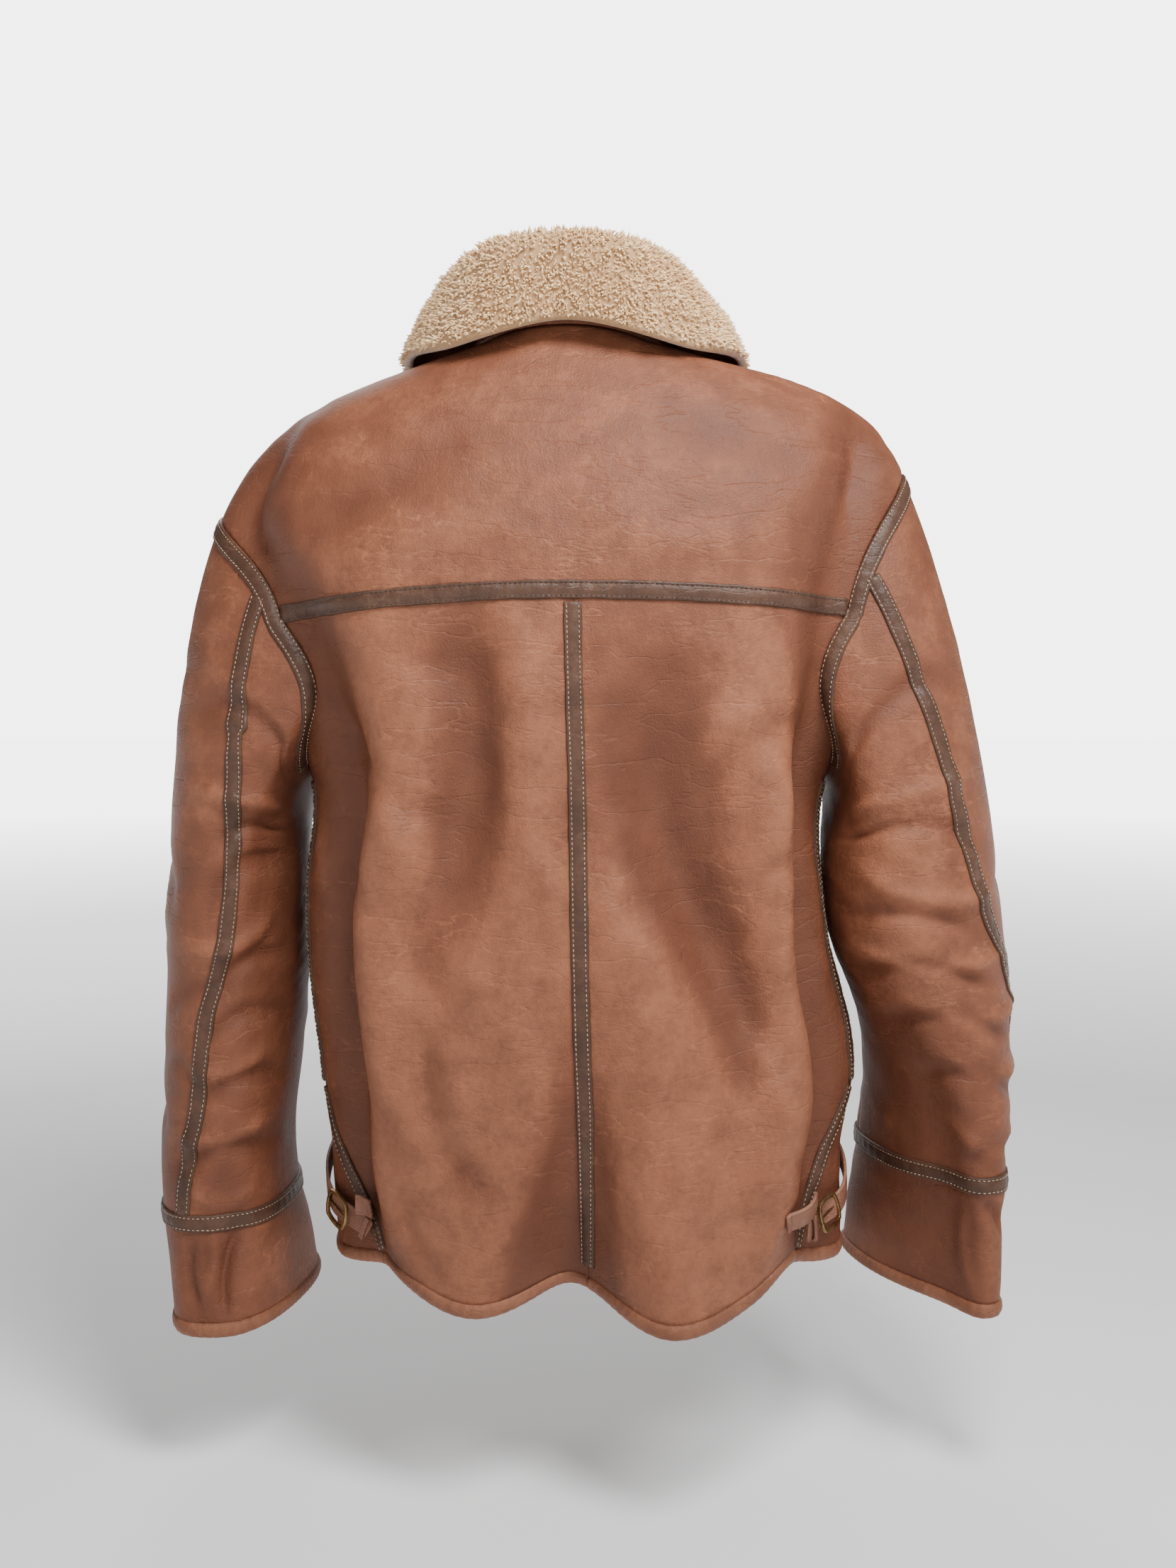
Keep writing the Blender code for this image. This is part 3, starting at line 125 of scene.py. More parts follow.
# Body rings: heights and reaches at the sides, back and front, from hem to neckline
BODY = Table(
    "run z_left z_right z_back z_front x_left x_right x_mid y_back y_front",
    [
        (0.000, -0.727, -0.727, -0.731, -0.730, -0.2005, 0.2035, 0.000, -0.148, 0.132),
        (0.120, -0.645, -0.645, -0.650, -0.648, -0.2070, 0.2040, -0.001, -0.150, 0.136),
        (0.190, -0.598, -0.598, -0.602, -0.600, -0.2115, 0.2125, -0.002, -0.152, 0.139),
        (0.270, -0.545, -0.545, -0.548, -0.546, -0.2180, 0.2080, -0.004, -0.154, 0.141),
        (0.340, -0.497, -0.497, -0.500, -0.498, -0.2235, 0.1950, -0.005, -0.155, 0.142),
        (0.420, -0.446, -0.446, -0.448, -0.447, -0.2250, 0.1875, -0.006, -0.156, 0.142),
        (0.540, -0.362, -0.362, -0.350, -0.352, -0.2210, 0.1900, -0.008, -0.158, 0.140),
        (0.620, -0.305, -0.300, -0.285, -0.298, -0.2450, 0.2200, -0.010, -0.160, 0.136),
        (0.700, -0.245, -0.235, -0.218, -0.240, -0.2800, 0.2430, -0.011, -0.159, 0.130),
        (0.800, -0.148, -0.113, -0.158, -0.185, -0.2930, 0.2525, -0.012, -0.150, 0.120),
        (0.847, -0.096, -0.090, -0.124, -0.158, -0.2620, 0.2400, -0.013, -0.141, 0.112),
        (0.873, -0.0735, -0.0735, -0.103, -0.143, -0.2385, 0.2269, -0.013, -0.134, 0.107),
        (0.914, -0.051, -0.050, -0.070, -0.121, -0.1920, 0.1880, -0.014, -0.118, 0.098),
        (0.955, -0.036, -0.037, -0.040, -0.102, -0.1490, 0.1400, -0.015, -0.101, 0.088),
        (1.000, -0.022, -0.023, -0.010, -0.085, -0.0920, 0.0600, -0.016, -0.083, 0.075),
    ],
)

FOLD_COLUMNS = "run angle out width"

# Largest folds of the body: run, angle round from the centre back, height out, half-width
FOLDS = {
    "left panel edge": [
        (0.00, -41, 0.000, 9),
        (0.10, -41, 0.014, 9),
        (0.35, -40, 0.020, 9),
        (0.56, -38, 0.018, 10),
        (0.68, -36, 0.006, 13),
        (0.78, -36, 0.000, 14),
    ],
    "left side valley": [
        (0.00, -52, -0.016, 9),
        (0.30, -52, -0.022, 7),
        (0.48, -51, -0.022, 7),
        (0.58, -47, -0.020, 8),
        (0.68, -47, -0.016, 9),
        (0.76, -53, -0.015, 9),
        (0.84, -64, -0.011, 10),
        (0.90, -70, 0.000, 10),
    ],
    "right panel edge": [
        (0.00, 42, 0.000, 9),
        (0.08, 42, 0.012, 9),
        (0.35, 42, 0.020, 9),
        (0.52, 42, 0.020, 9),
        (0.62, 38, 0.008, 12),
        (0.72, 36, 0.000, 12),
    ],
    "right side valley": [
        (0.00, 53, -0.016, 9),
        (0.30, 55, -0.026, 9),
        (0.52, 55, -0.024, 8),
        (0.61, 50, -0.020, 8),
        (0.70, 47, -0.020, 8),
        (0.77, 49, -0.018, 9),
        (0.85, 57, -0.012, 9),
        (0.90, 62, 0.000, 9),
    ],
    "centre hem valley": [
        (0.00, -3, -0.040, 11),
        (0.08, -3, -0.024, 10),
        (0.22, -2, -0.006, 8),
        (0.35, -2, 0.000, 8),
    ],
    "right lobe": [
        (0.00, 16, 0.028, 13),
        (0.12, 15, 0.020, 12),
        (0.27, 12, 0.012, 11),
        (0.38, 8, 0.010, 9),
        (0.48, 4, 0.000, 8),
    ],
    "left lobe": [
        (0.00, -24, 0.007, 12),
        (0.20, -14, 0.006, 9),
        (0.45, -11, 0.006, 7),
        (0.62, -10, 0.009, 6),
        (0.72, -9, 0.000, 6),
    ],
    "left slant valley": [
        (0.20, -36, 0.000, 9),
        (0.40, -30, -0.008, 9),
        (0.50, -22, -0.012, 8),
        (0.57, -18, -0.013, 7),
        (0.64, -18, -0.009, 6),
        (0.70, -18, 0.000, 6),
    ],
    "right slant valley": [
        (0.20, 35, 0.000, 8),
        (0.28, 34, -0.014, 8),
        (0.42, 25, -0.014, 8),
        (0.55, 16, -0.010, 9),
        (0.66, 14, 0.000, 9),
    ],
}

FOLDS = {name: Table(FOLD_COLUMNS, rows) for name, rows in FOLDS.items()}

# Rise of the hem edge round the body, from the centre back
HEM = Table(
    "angle rise",
    [
        (-180, 0.000),
        (-90, 0.000),
        (-60, 0.008),
        (-42, 0.010),
        (-24, -0.004),
        (-3, 0.006),
        (16, -0.008),
        (32, 0.000),
        (43, 0.014),
        (60, 0.008),
        (90, 0.000),
        (180, 0.000),
    ],
)
HEM_REACH = 0.30

# Sleeve rings from below the armpit (0) to the cuff seam (1) and the cuff's edge.
# turn swings the long way of the ring, in degrees from +Y towards +X.
SLEEVES = {
    "left": Table(
        "run z x y thick deep turn",
        [
            (0.00, -0.415, -0.2815, -0.006, 0.0522, 0.090, 0),
            (0.15, -0.467, -0.2840, -0.004, 0.0535, 0.088, 0),
            (0.32, -0.514, -0.2845, 0.000, 0.0535, 0.085, 0),
            (0.48, -0.560, -0.2870, 0.000, 0.0530, 0.083, 0),
            (0.65, -0.607, -0.2900, 0.000, 0.0510, 0.081, 0),
            (0.82, -0.653, -0.2930, 0.000, 0.0490, 0.079, 2),
            (1.00, -0.700, -0.2900, 0.000, 0.0480, 0.079, 5),
            (1.16, -0.738, -0.2830, 0.000, 0.0470, 0.083, 9),
            (1.32, -0.775, -0.2775, 0.000, 0.0440, 0.087, 12),
        ],
    ),
    "right": Table(
        "run z x y thick deep turn",
        [
            (0.00, -0.415, 0.2550, -0.026, 0.0665, 0.080, 0),
            (0.18, -0.460, 0.2580, -0.026, 0.0685, 0.078, 0),
            (0.35, -0.497, 0.2645, -0.024, 0.0660, 0.076, 0),
            (0.48, -0.527, 0.2720, -0.020, 0.0600, 0.077, -3),
            (0.68, -0.577, 0.2800, -0.015, 0.0510, 0.080, -8),
            (0.80, -0.610, 0.2800, -0.013, 0.0450, 0.083, -14),
            (1.00, -0.665, 0.2750, -0.014, 0.0370, 0.087, -20),
            (1.20, -0.712, 0.2700, -0.014, 0.0310, 0.090, -23),
            (1.38, -0.754, 0.2665, -0.014, 0.0290, 0.092, -24),
        ],
    ),
}

# Largest folds of the sleeves: run, angle round from the back, height out, half-width
SLEEVE_FOLDS = {
    "left": {
        "elbow valley": [
            (-0.90, 300, 0.000, 30),
            (-0.30, 310, -0.006, 28),
            (0.40, 320, -0.004, 24),
            (0.80, 325, 0.000, 24),
        ],
        "cuff valley": [
            (0.70, -30, 0.000, 20),
            (1.00, -22, -0.005, 20),
            (1.32, -10, -0.004, 22),
        ],
    },
    "right": {
        "back of elbow": [
            (-0.60, -20, 0.000, 30),
            (0.10, -20, 0.006, 30),
            (0.60, -10, 0.000, 30),
        ],
        "cuff valley": [
            (0.45, 318, 0.000, 22),
            (0.80, 314, -0.010, 24),
            (1.10, 308, -0.012, 26),
            (1.38, 305, -0.010, 28),
        ],
    },
}

for folds in SLEEVE_FOLDS.values():
    for name, rows in folds.items():
        folds[name] = Table(FOLD_COLUMNS, rows)

# Sleeve seam under its tape: run from the armhole (-1), angle round from the back
SLEEVE_SEAMS = {
    "left": Table(
        "run angle",
        [
            (-1.0, 20),
            (-0.75, 11),
            (-0.5, 0),
            (-0.25, -9),
            (0.0, -14),
            (0.2, -9),
            (0.4, 6),
            (0.7, 11),
            (1.0, 19),
            (1.4, 24),
        ],
    ),
    "right": Table(
        "run angle",
        [
            (-1.0, 20),
            (-0.5, 21),
            (0.0, 29),
            (0.2, 40),
            (0.4, 57),
            (0.7, 80),
            (1.0, 88),
            (1.4, 90),
        ],
    ),
}
INNER_SEAM = 232.0

# Collar section, out and up from the neckline, by angle from the centre back
COLLAR = Table(
    "angle fold_out fold_up edge_out edge_up",
    [
        (-176, 0.013, 0.036, 0.052, -0.066),
        (-135, 0.014, 0.042, 0.066, -0.042),
        (-90, 0.012, 0.062, 0.056, 0.000),
        (-45, 0.008, 0.0705, 0.040, -0.011),
        (0, 0.003, 0.0715, 0.022, 0.000),
        (45, 0.008, 0.0705, 0.044, -0.011),
        (90, 0.017, 0.062, 0.068, 0.000),
        (135, 0.014, 0.042, 0.066, -0.042),
        (176, 0.013, 0.036, 0.052, -0.066),
    ],
)


# Side straps and their back tabs: body angle, run and lift
STRAP_WIDTH = 0.016
STRAP_THICK = 0.0026
STRAP_COLUMNS = "place angle run lift"
STRAPS = {
    "left": [
        (0, 101.0, 0.092, 0.0010),
        (1, 92.0, 0.090, 0.0020),
        (2, 82.0, 0.082, 0.0030),
        (3, 72.0, 0.068, 0.0040),
        (4, 62.5, 0.050, 0.0055),
        (5, 56.0, 0.037, 0.0070),
        (6, 53.0, 0.030, 0.0070),
    ],
    "right": [
        (0, 101.0, 0.088, 0.0010),
        (1, 92.0, 0.086, 0.0020),
        (2, 82.0, 0.078, 0.0030),
        (3, 70.0, 0.062, 0.0040),
        (4, 60.0, 0.048, 0.0080),
        (5, 53.0, 0.038, 0.0120),
        (6, 48.0, 0.030, 0.0090),
    ],
}
TABS = {
    "left": [(0, 49.0, 0.060, 0.0060), (1, 52.5, 0.061, 0.0100), (2, 56.8, 0.062, 0.0110)],
    "right": [(0, 40.0, 0.062, 0.0010), (1, 45.5, 0.064, 0.0095), (2, 50.3, 0.066, 0.0130)],
}


class Side(Enum):
    """The wearer's sides, with their sign along X."""

    LEFT = -1.0
    RIGHT = 1.0

    @property
    def label(self) -> str:
        """Name used in the nodes."""
        return self.name.lower()


def unit(vectors: Array) -> Array:
    """Vectors scaled to length one."""
    size = np.linalg.norm(vectors, axis=-1, keepdims=True)
    return vectors / np.maximum(size, 1e-12)


def round_out(angle: Array, square: float) -> tuple[Array, Array]:
    """Sine and cosine of a squared-off circle.

    Args:
        angle: Angles in degrees.
        square: Exponent, 2 for a circle.

    Returns:
        The sine and the cosine.
    """
    s = np.sin(np.radians(angle))
    c = np.cos(np.radians(angle))
    grow = (np.abs(s) ** square + np.abs(c) ** square) ** (-1.0 / square)
    return s * grow, c * grow


def fold_height(folds: dict[str, Table], angle: Array, run: Array) -> Array:
    """Sum of the largest folds.

    Args:
        folds: Tables of the folds by name.
        angle: Angles in degrees.
        run: Runs along the surface.

    Returns:
        Height out of the smooth surface, in metres.
    """
    total = np.zeros(np.broadcast(angle, run).shape)
    for table in folds.values():
        first = table.rows[0, 0]
        last = table.rows[-1, 0]
        near = (np.asarray(angle) - table.read("angle", run) + 180.0) % 360.0 - 180.0
        bump = table.read("out", run) * np.exp(-((near / table.read("width", run)) ** 2))
        inside = np.clip((run - first + 0.05) / 0.05, 0, 1) * np.clip((last + 0.05 - run) / 0.05, 0, 1)
        total = total + bump * inside
    return total


@dataclass(frozen=True)
class Crease:
    """A soft ridge (out above 0) or trough (below 0) along a line on the cloth."""

    start: tuple[float, float]
    end: tuple[float, float]
    out: float
    width: float

    def height(self, angle: Array, run: Array, per_degree: float, per_run: float) -> Array:
        """Height of this crease.

        Args:
            angle: Angles in degrees.
            run: Runs along the surface.
            per_degree: Metres for each degree.
            per_run: Metres for each unit of run.

        Returns:
            Height at each place, in metres.
        """
        from_start = (np.asarray(angle) - self.start[0] + 180.0) % 360.0 - 180.0
        x = from_start * per_degree
        y = (run - self.start[1]) * per_run
        reach_x = (self.end[0] - self.start[0]) * per_degree
        reach_y = (self.end[1] - self.start[1]) * per_run
        size = math.hypot(reach_x, reach_y)
        along = (x * reach_x + y * reach_y) / size
        across = (x * reach_y - y * reach_x) / size
        bow = 0.12 * size * np.sin(math.pi * np.clip(along / size, 0, 1)) * math.copysign(1, self.out)
        bend = across + bow
        beyond = np.maximum(0.0, np.abs(along - size / 2) - size * 0.32) / (0.22 * size)
        return self.out * np.exp(-((bend / self.width) ** 2) - beyond**2)


def ripple(points: Array, seed: float) -> Array:
    """Uneven small waves of soft leather, between about -1 and 1.

    Args:
        points: Places in metres.
        seed: Shift that makes each piece its own.

    Returns:
        Height for each place.
    """
    x, y, z = points[..., 0] + seed, points[..., 1] - seed * 0.7, points[..., 2] + seed * 0.3
    bend = 0.020 * np.sin(31.0 * z + 17.0 * x) + 0.014 * np.sin(43.0 * x - 29.0 * z + 1.3)
    total = 0.50 * np.sin(61.0 * (x + bend) + 34.0 * z + 2.0 * np.sin(9.0 * z))
    total = total + 0.36 * np.sin(97.0 * (z + bend) - 52.0 * x + 40.0 * y + 0.8)
    total = total + 0.26 * np.sin(171.0 * (z + 0.6 * bend) + 83.0 * x + 2.4 * np.sin(21.0 * x + 1.0))
    total = total + 0.16 * np.sin(263.0 * (x - bend) - 190.0 * z + 140.0 * y)
    return total * (0.55 + 0.45 * np.sin(13.0 * x + 11.0 * z + 7.0 * y + seed * 5.0))


def body_base(angle: Array, run: Array) -> Array:
    """Smooth body surface, before its folds.

    Args:
        angle: Angles from the centre back, in degrees, plus towards the wearer's right.
        run: 0 at the hem, 1 at the neckline.

    Returns:
        Points in metres.
    """
    angle = np.asarray(angle, dtype=float)
    run = np.asarray(run, dtype=float)
    s, c = round_out(angle, BODY_SQUARE)
    right = np.sin(np.radians(angle)) >= 0
    back = np.cos(np.radians(angle)) >= 0
    mid = BODY.read("x_mid", run)
    reach = np.where(right, BODY.read("x_right", run) - mid, mid - BODY.read("x_left", run))
    depth = np.where(back, -BODY.read("y_back", run), BODY.read("y_front", run))
    z_side = np.where(right, BODY.read("z_right", run), BODY.read("z_left", run))
    z_middle = np.where(back, BODY.read("z_back", run), BODY.read("z_front", run))
    share = np.cos(np.radians(angle)) ** 2
    turned = (angle + 180.0) % 360.0 - 180.0
    lift = HEM.read("rise", turned) * np.clip(1.0 - run / HEM_REACH, 0.0, 1.0) ** 2
    z = z_side + (z_middle - z_side) * share + lift
    return np.stack([mid + reach * s, -depth * c, z], axis=-1)


Surface = Callable[[Array, Array], Array]


def slopes_normal(surface: Surface, angle: Array, run: Array, way: float, ends: tuple[float, float]) -> Array:
    """Normal of a surface from its slopes.

    Args:
        surface: Function of angle and run.
        angle: Angles in degrees.
        run: Runs.
        way: Plus or minus one, so that the normal points outwards.
        ends: First and last run.

    Returns:
        Normals of length one.
    """
    run = np.clip(run, ends[0] + 0.002, ends[1] - 0.002)
    across = surface(angle + 0.4, run) - surface(angle - 0.4, run)
    along = surface(angle, run + 0.002) - surface(angle, run - 0.002)
    return unit(np.cross(across, along)) * way


def body_folded(angle: Array, run: Array) -> Array:
    """Body surface with its largest folds, the same as the solids'."""
    angle = np.asarray(angle, dtype=float)
    run = np.asarray(run, dtype=float)
    out = slopes_normal(body_base, angle, run, 1.0, (0.0, 1.0))
    return body_base(angle, run) + out * fold_height(FOLDS, angle, run)[..., None]


def armhole_point(turn: Array) -> tuple[Array, Array]:
    """Body angle and run on the right armhole.

    Args:
        turn: 0 at the back, 90 at the top, 180 at the front, 270 underarm.

    Returns:
        The angle and the run.
    """
    s, c = round_out(np.asarray(turn, dtype=float), ARMHOLE_SQUARE)
    rise = np.where(s >= 0, ARMHOLE_UP, ARMHOLE_DOWN) * s
    return 90.0 - ARMHOLE_HALF * c, ARMHOLE_RUN + rise


def leaned(angle: Array, run: Array) -> Array:
    """Body angle after the lower back of the armhole leans towards the centre back."""
    drop = np.clip((ARMHOLE_RUN - run) / ARMHOLE_LEAN_REACH, 0.0, 1.0)
    near = np.exp(-(((angle - 90.0 + ARMHOLE_HALF) / ARMHOLE_LEAN_WIDTH) ** 2))
    start = np.clip(angle / 10.0, 0.0, 1.0)
    return angle - ARMHOLE_LEAN * np.sin(math.pi * drop) * near * start


def sleeve_ring(side: Side, angle: Array, run: Array) -> Array:
    """Sleeve ring below the armpit, before the folds."""
    table = SLEEVES[side.label]
    s, c = round_out(angle, SLEEVE_SQUARE)
    turn = np.radians(table.read("turn", run))
    thick = table.read("thick", run) * side.value * s
    deep = table.read("deep", run) * -c
    x = table.read("x", run) + deep * np.sin(turn) + thick * np.cos(turn)
    y = table.read("y", run) + deep * np.cos(turn) - thick * np.sin(turn)
    z = table.read("z", run) + 0.0 * x
    return np.stack([x, y, z], axis=-1)


@lru_cache(maxsize=2)
def sleeve_start(side: Side) -> tuple[Array, Array, Array]:
    """Where a sleeve leaves the armhole, all the way round.

    Args:
        side: The wearer's side.

    Returns:
        Angles, points on the armhole and directions in which the sleeve leaves.
    """
    angle = np.linspace(-180.0, 540.0, 1441)
    hole_angle, hole_run = armhole_point(angle)
    hole_angle = leaned(hole_angle, hole_run)
    start = body_folded(side.value * hole_angle, hole_run)
    c = np.cos(np.radians(angle))
    s = np.sin(np.radians(angle))
    outward_share = 0.40 + 0.25 * c * c - 0.15 * (1.0 - s)
    away = slopes_normal(body_folded, side.value * hole_angle, hole_run, 1.0, (0.0, 1.0))
    low = np.clip(0.55 - 0.55 * s, 0.0, 1.0)[..., None]
    leave = np.stack([side.value * outward_share, 0.0 * c, -np.ones_like(c)], axis=-1)
    return angle, start, unit(leave + away * low * 0.85)


def read_vectors(at: Array, places: Array, vectors: Array) -> Array:
    """Vectors between the places where they are known."""
    return np.stack([np.interp(at, places, vectors[:, k]) for k in range(3)], axis=-1)


def sleeve_base(side: Side, angle: Array, run: Array) -> Array:
    """Sleeve surface before its folds.

    Args:
        side: The wearer's side.
        angle: Angles round the sleeve, 0 at the back.
        run: -1 at the armhole, 0 below the armpit, 1 at the cuff seam.

    Returns:
        Points in metres.
    """
    angle, run = np.broadcast_arrays(np.asarray(angle, dtype=float), np.asarray(run, dtype=float))
    lower = sleeve_ring(side, angle, np.maximum(run, 0.0))
    if run.min() >= 0.0:
        return lower
    places, starts, leaves = sleeve_start(side)
    start = read_vectors(angle, places, starts)
    leave = read_vectors(angle, places, leaves)
    end = sleeve_ring(side, angle, np.zeros_like(run))
    onward = unit(sleeve_ring(side, angle, np.full_like(run, 0.04)) - end)
    size = np.linalg.norm(end - start, axis=-1, keepdims=True)
    t = np.clip(run + 1.0, 0.0, 1.0)[..., None]
    upper = (
        (1 + 2 * t) * (1 - t) ** 2 * start
        + t * (1 - t) ** 2 * leave * size * 0.8
        + t * t * (3 - 2 * t) * end
        - t * t * (1 - t) * onward * size * 0.8
    )
    return np.where((run < 0.0)[..., None], upper, lower)


# Metres for each degree round the body or a sleeve, and for each unit of run
BODY_SCALE = (0.0032, 0.70)
SLEEVE_SCALE = (0.0013, 0.285)

# Creases of the body: the back as the photograph shows it, the front much alike
BODY_CREASES = [
    Crease((-41, 0.56), (-37, 0.12), -0.0075, 0.020),
    Crease((-33, 0.50), (-29, 0.16), 0.0050, 0.018),
    Crease((17, 0.58), (34, 0.36), -0.0060, 0.022),
    Crease((24, 0.62), (42, 0.44), 0.0045, 0.016),
    Crease((-46, 0.60), (-28, 0.50), -0.0050, 0.012),
    Crease((-44, 0.55), (-31, 0.44), 0.0040, 0.010),
    Crease((-46, 0.50), (-36, 0.40), -0.0035, 0.009),
    Crease((-30, 0.66), (-14, 0.63), -0.0026, 0.012),
    Crease((-36, 0.34), (-24, 0.17), 0.0040, 0.012),
    Crease((-30, 0.28), (-19, 0.10), -0.0036, 0.012),
    Crease((-24, 0.36), (-12, 0.22), 0.0030, 0.011),
    Crease((-12, 0.30), (-15, 0.08), 0.0026, 0.010),
    Crease((-37, 0.20), (-33, 0.03), -0.0036, 0.010),
    Crease((-9, 0.48), (-7, 0.30), 0.0032, 0.009),
    Crease((-20, 0.60), (-12, 0.52), 0.0024, 0.009),
    Crease((43, 0.60), (27, 0.50), -0.0050, 0.012),
    Crease((44, 0.55), (30, 0.44), 0.0038, 0.010),
    Crease((44, 0.47), (33, 0.38), -0.0034, 0.009),
    Crease((14, 0.64), (33, 0.61), -0.0026, 0.012),
    Crease((7, 0.42), (12, 0.20), 0.0040, 0.009),
    Crease((12, 0.44), (20, 0.28), -0.0034, 0.010),
    Crease((5, 0.24), (9, 0.06), -0.0036, 0.010),
    Crease((20, 0.24), (24, 0.05), -0.0044, 0.011),
    Crease((29, 0.30), (33, 0.09), 0.0044, 0.011),
    Crease((36, 0.34), (37, 0.16), -0.0036, 0.009),
    Crease((17, 0.16), (14, 0.02), 0.0040, 0.010),
    Crease((38, 0.14), (35, 0.02), 0.0034, 0.009),
    Crease((-40, 0.79), (-20, 0.87), -0.0030, 0.017),
    Crease((38, 0.82), (18, 0.88), -0.0030, 0.017),
    Crease((-30, 0.74), (-8, 0.78), 0.0016, 0.016),
    Crease((28, 0.75), (6, 0.79), 0.0016, 0.016),
    Crease((-62, 0.84), (-52, 0.76), -0.0050, 0.012),
    Crease((60, 0.86), (51, 0.77), -0.0050, 0.012),
    Crease((-64, 0.48), (-58, 0.30), 0.0036, 0.010),
    Crease((64, 0.48), (60, 0.28), 0.0036, 0.010),
    Crease((-150, 0.62), (-128, 0.48), -0.0040, 0.013),
    Crease((-160, 0.44), (-140, 0.26), 0.0030, 0.013),
    Crease((-132, 0.40), (-120, 0.20), -0.0034, 0.012),
    Crease((-168, 0.26), (-158, 0.05), -0.0032, 0.012),
    Crease((-140, 0.18), (-136, 0.02), 0.0034, 0.012),
    Crease((-118, 0.58), (-104, 0.44), -0.0040, 0.011),
    Crease((148, 0.60), (126, 0.49), -0.0040, 0.013),
    Crease((158, 0.40), (143, 0.22), 0.0030, 0.013),
    Crease((134, 0.42), (122, 0.24), -0.0034, 0.012),
    Crease((166, 0.30), (160, 0.08), -0.0032, 0.012),
    Crease((138, 0.16), (141, 0.02), 0.0034, 0.012),
    Crease((116, 0.57), (102, 0.45), -0.0040, 0.011),
    Crease((-150, 0.78), (-126, 0.84), -0.0024, 0.016),
    Crease((150, 0.79), (124, 0.85), -0.0024, 0.016),
]

# Creases of the sleeves: angle round from the back, run down the sleeve
SLEEVE_CREASES = {
    "left": [
        Crease((-40, -0.62), (30, -0.48), -0.0040, 0.010),
        Crease((-50, -0.40), (20, -0.24), 0.0034, 0.010),
        Crease((-60, -0.22), (0, -0.06), -0.0040, 0.009),
        Crease((-58, 0.02), (6, 0.10), -0.0044, 0.009),
        Crease((-50, 0.14), (24, 0.22), 0.0034, 0.008),
        Crease((-56, 0.26), (-6, 0.31), -0.0046, 0.008),
        Crease((-10, 0.34), (44, 0.40), -0.0030, 0.008),
        Crease((-58, 0.42), (8, 0.47), -0.0044, 0.008),
        Crease((-44, 0.52), (20, 0.55), 0.0034, 0.007),
        Crease((-60, 0.60), (4, 0.63), -0.0046, 0.008),
        Crease((12, 0.58), (60, 0.54), -0.0026, 0.008),
        Crease((-50, 0.71), (26, 0.74), 0.0036, 0.008),
        Crease((-58, 0.80), (20, 0.84), -0.0050, 0.008),
        Crease((-46, 0.92), (10, 0.90), 0.0030, 0.007),
        Crease((40, 0.12), (84, -0.02), -0.0030, 0.010),
        Crease((46, 0.74), (88, 0.66), -0.0030, 0.010),
        Crease((-34, 1.03), (-24, 1.28), -0.0060, 0.007),
        Crease((-10, 1.02), (-2, 1.22), 0.0030, 0.008),
        Crease((10, 1.06), (6, 1.26), -0.0040, 0.008),
        Crease((120, -0.30), (180, -0.16), -0.0040, 0.010),
        Crease((130, 0.10), (200, 0.16), -0.0040, 0.009),
        Crease((140, 0.34), (210, 0.30), 0.0034, 0.009),
        Crease((130, 0.52), (196, 0.58), -0.0040, 0.009),
        Crease((150, 0.76), (214, 0.72), -0.0044, 0.009),
        Crease((160, 1.06), (166, 1.26), -0.0040, 0.009),
    ],
    "right": [
        Crease((-30, -0.60), (40, -0.50), -0.0040, 0.010),
        Crease((-44, -0.36), (34, -0.26), 0.0034, 0.010),
        Crease((-50, -0.16), (30, -0.06), -0.0044, 0.010),
        Crease((-40, 0.06), (40, 0.12), 0.0036, 0.009),
        Crease((-50, 0.18), (24, 0.22), -0.0050, 0.009),
        Crease((-52, 0.30), (44, 0.33), 0.0040, 0.008),
        Crease((-54, 0.38), (30, 0.42), -0.0054, 0.008),
        Crease((-30, 0.48), (62, 0.50), 0.0040, 0.008),
        Crease((-54, 0.55), (40, 0.59), -0.0054, 0.008),
        Crease((-20, 0.65), (66, 0.68), 0.0038, 0.007),
        Crease((-50, 0.72), (44, 0.76), -0.0050, 0.008),
        Crease((-40, 0.84), (50, 0.87), 0.0034, 0.008),
        Crease((-20, 0.93), (60, 0.95), -0.0044, 0.008),
        Crease((60, 0.10), (110, 0.02), -0.0034, 0.010),
        Crease((70, 0.44), (120, 0.38), -0.0034, 0.010),
        Crease((80, 0.80), (120, 0.74), -0.0030, 0.010),
        Crease((-10, 1.06), (20, 1.14), -0.0050, 0.008),
        Crease((30, 1.08), (34, 1.30), -0.0036, 0.008),
        Crease((-36, 1.10), (-30, 1.32), 0.0036, 0.009),
        Crease((130, -0.26), (190, -0.14), -0.0040, 0.010),
        Crease((140, 0.16), (206, 0.20), -0.0040, 0.009),
        Crease((150, 0.40), (214, 0.36), 0.0034, 0.009),
        Crease((140, 0.60), (206, 0.66), -0.0042, 0.009),
        Crease((160, 0.86), (220, 0.82), -0.0040, 0.009),
        Crease((150, 1.10), (158, 1.30), -0.0040, 0.009),
    ],
}

RIPPLE = 0.00085
RIPPLE_SLEEVE = 0.00105


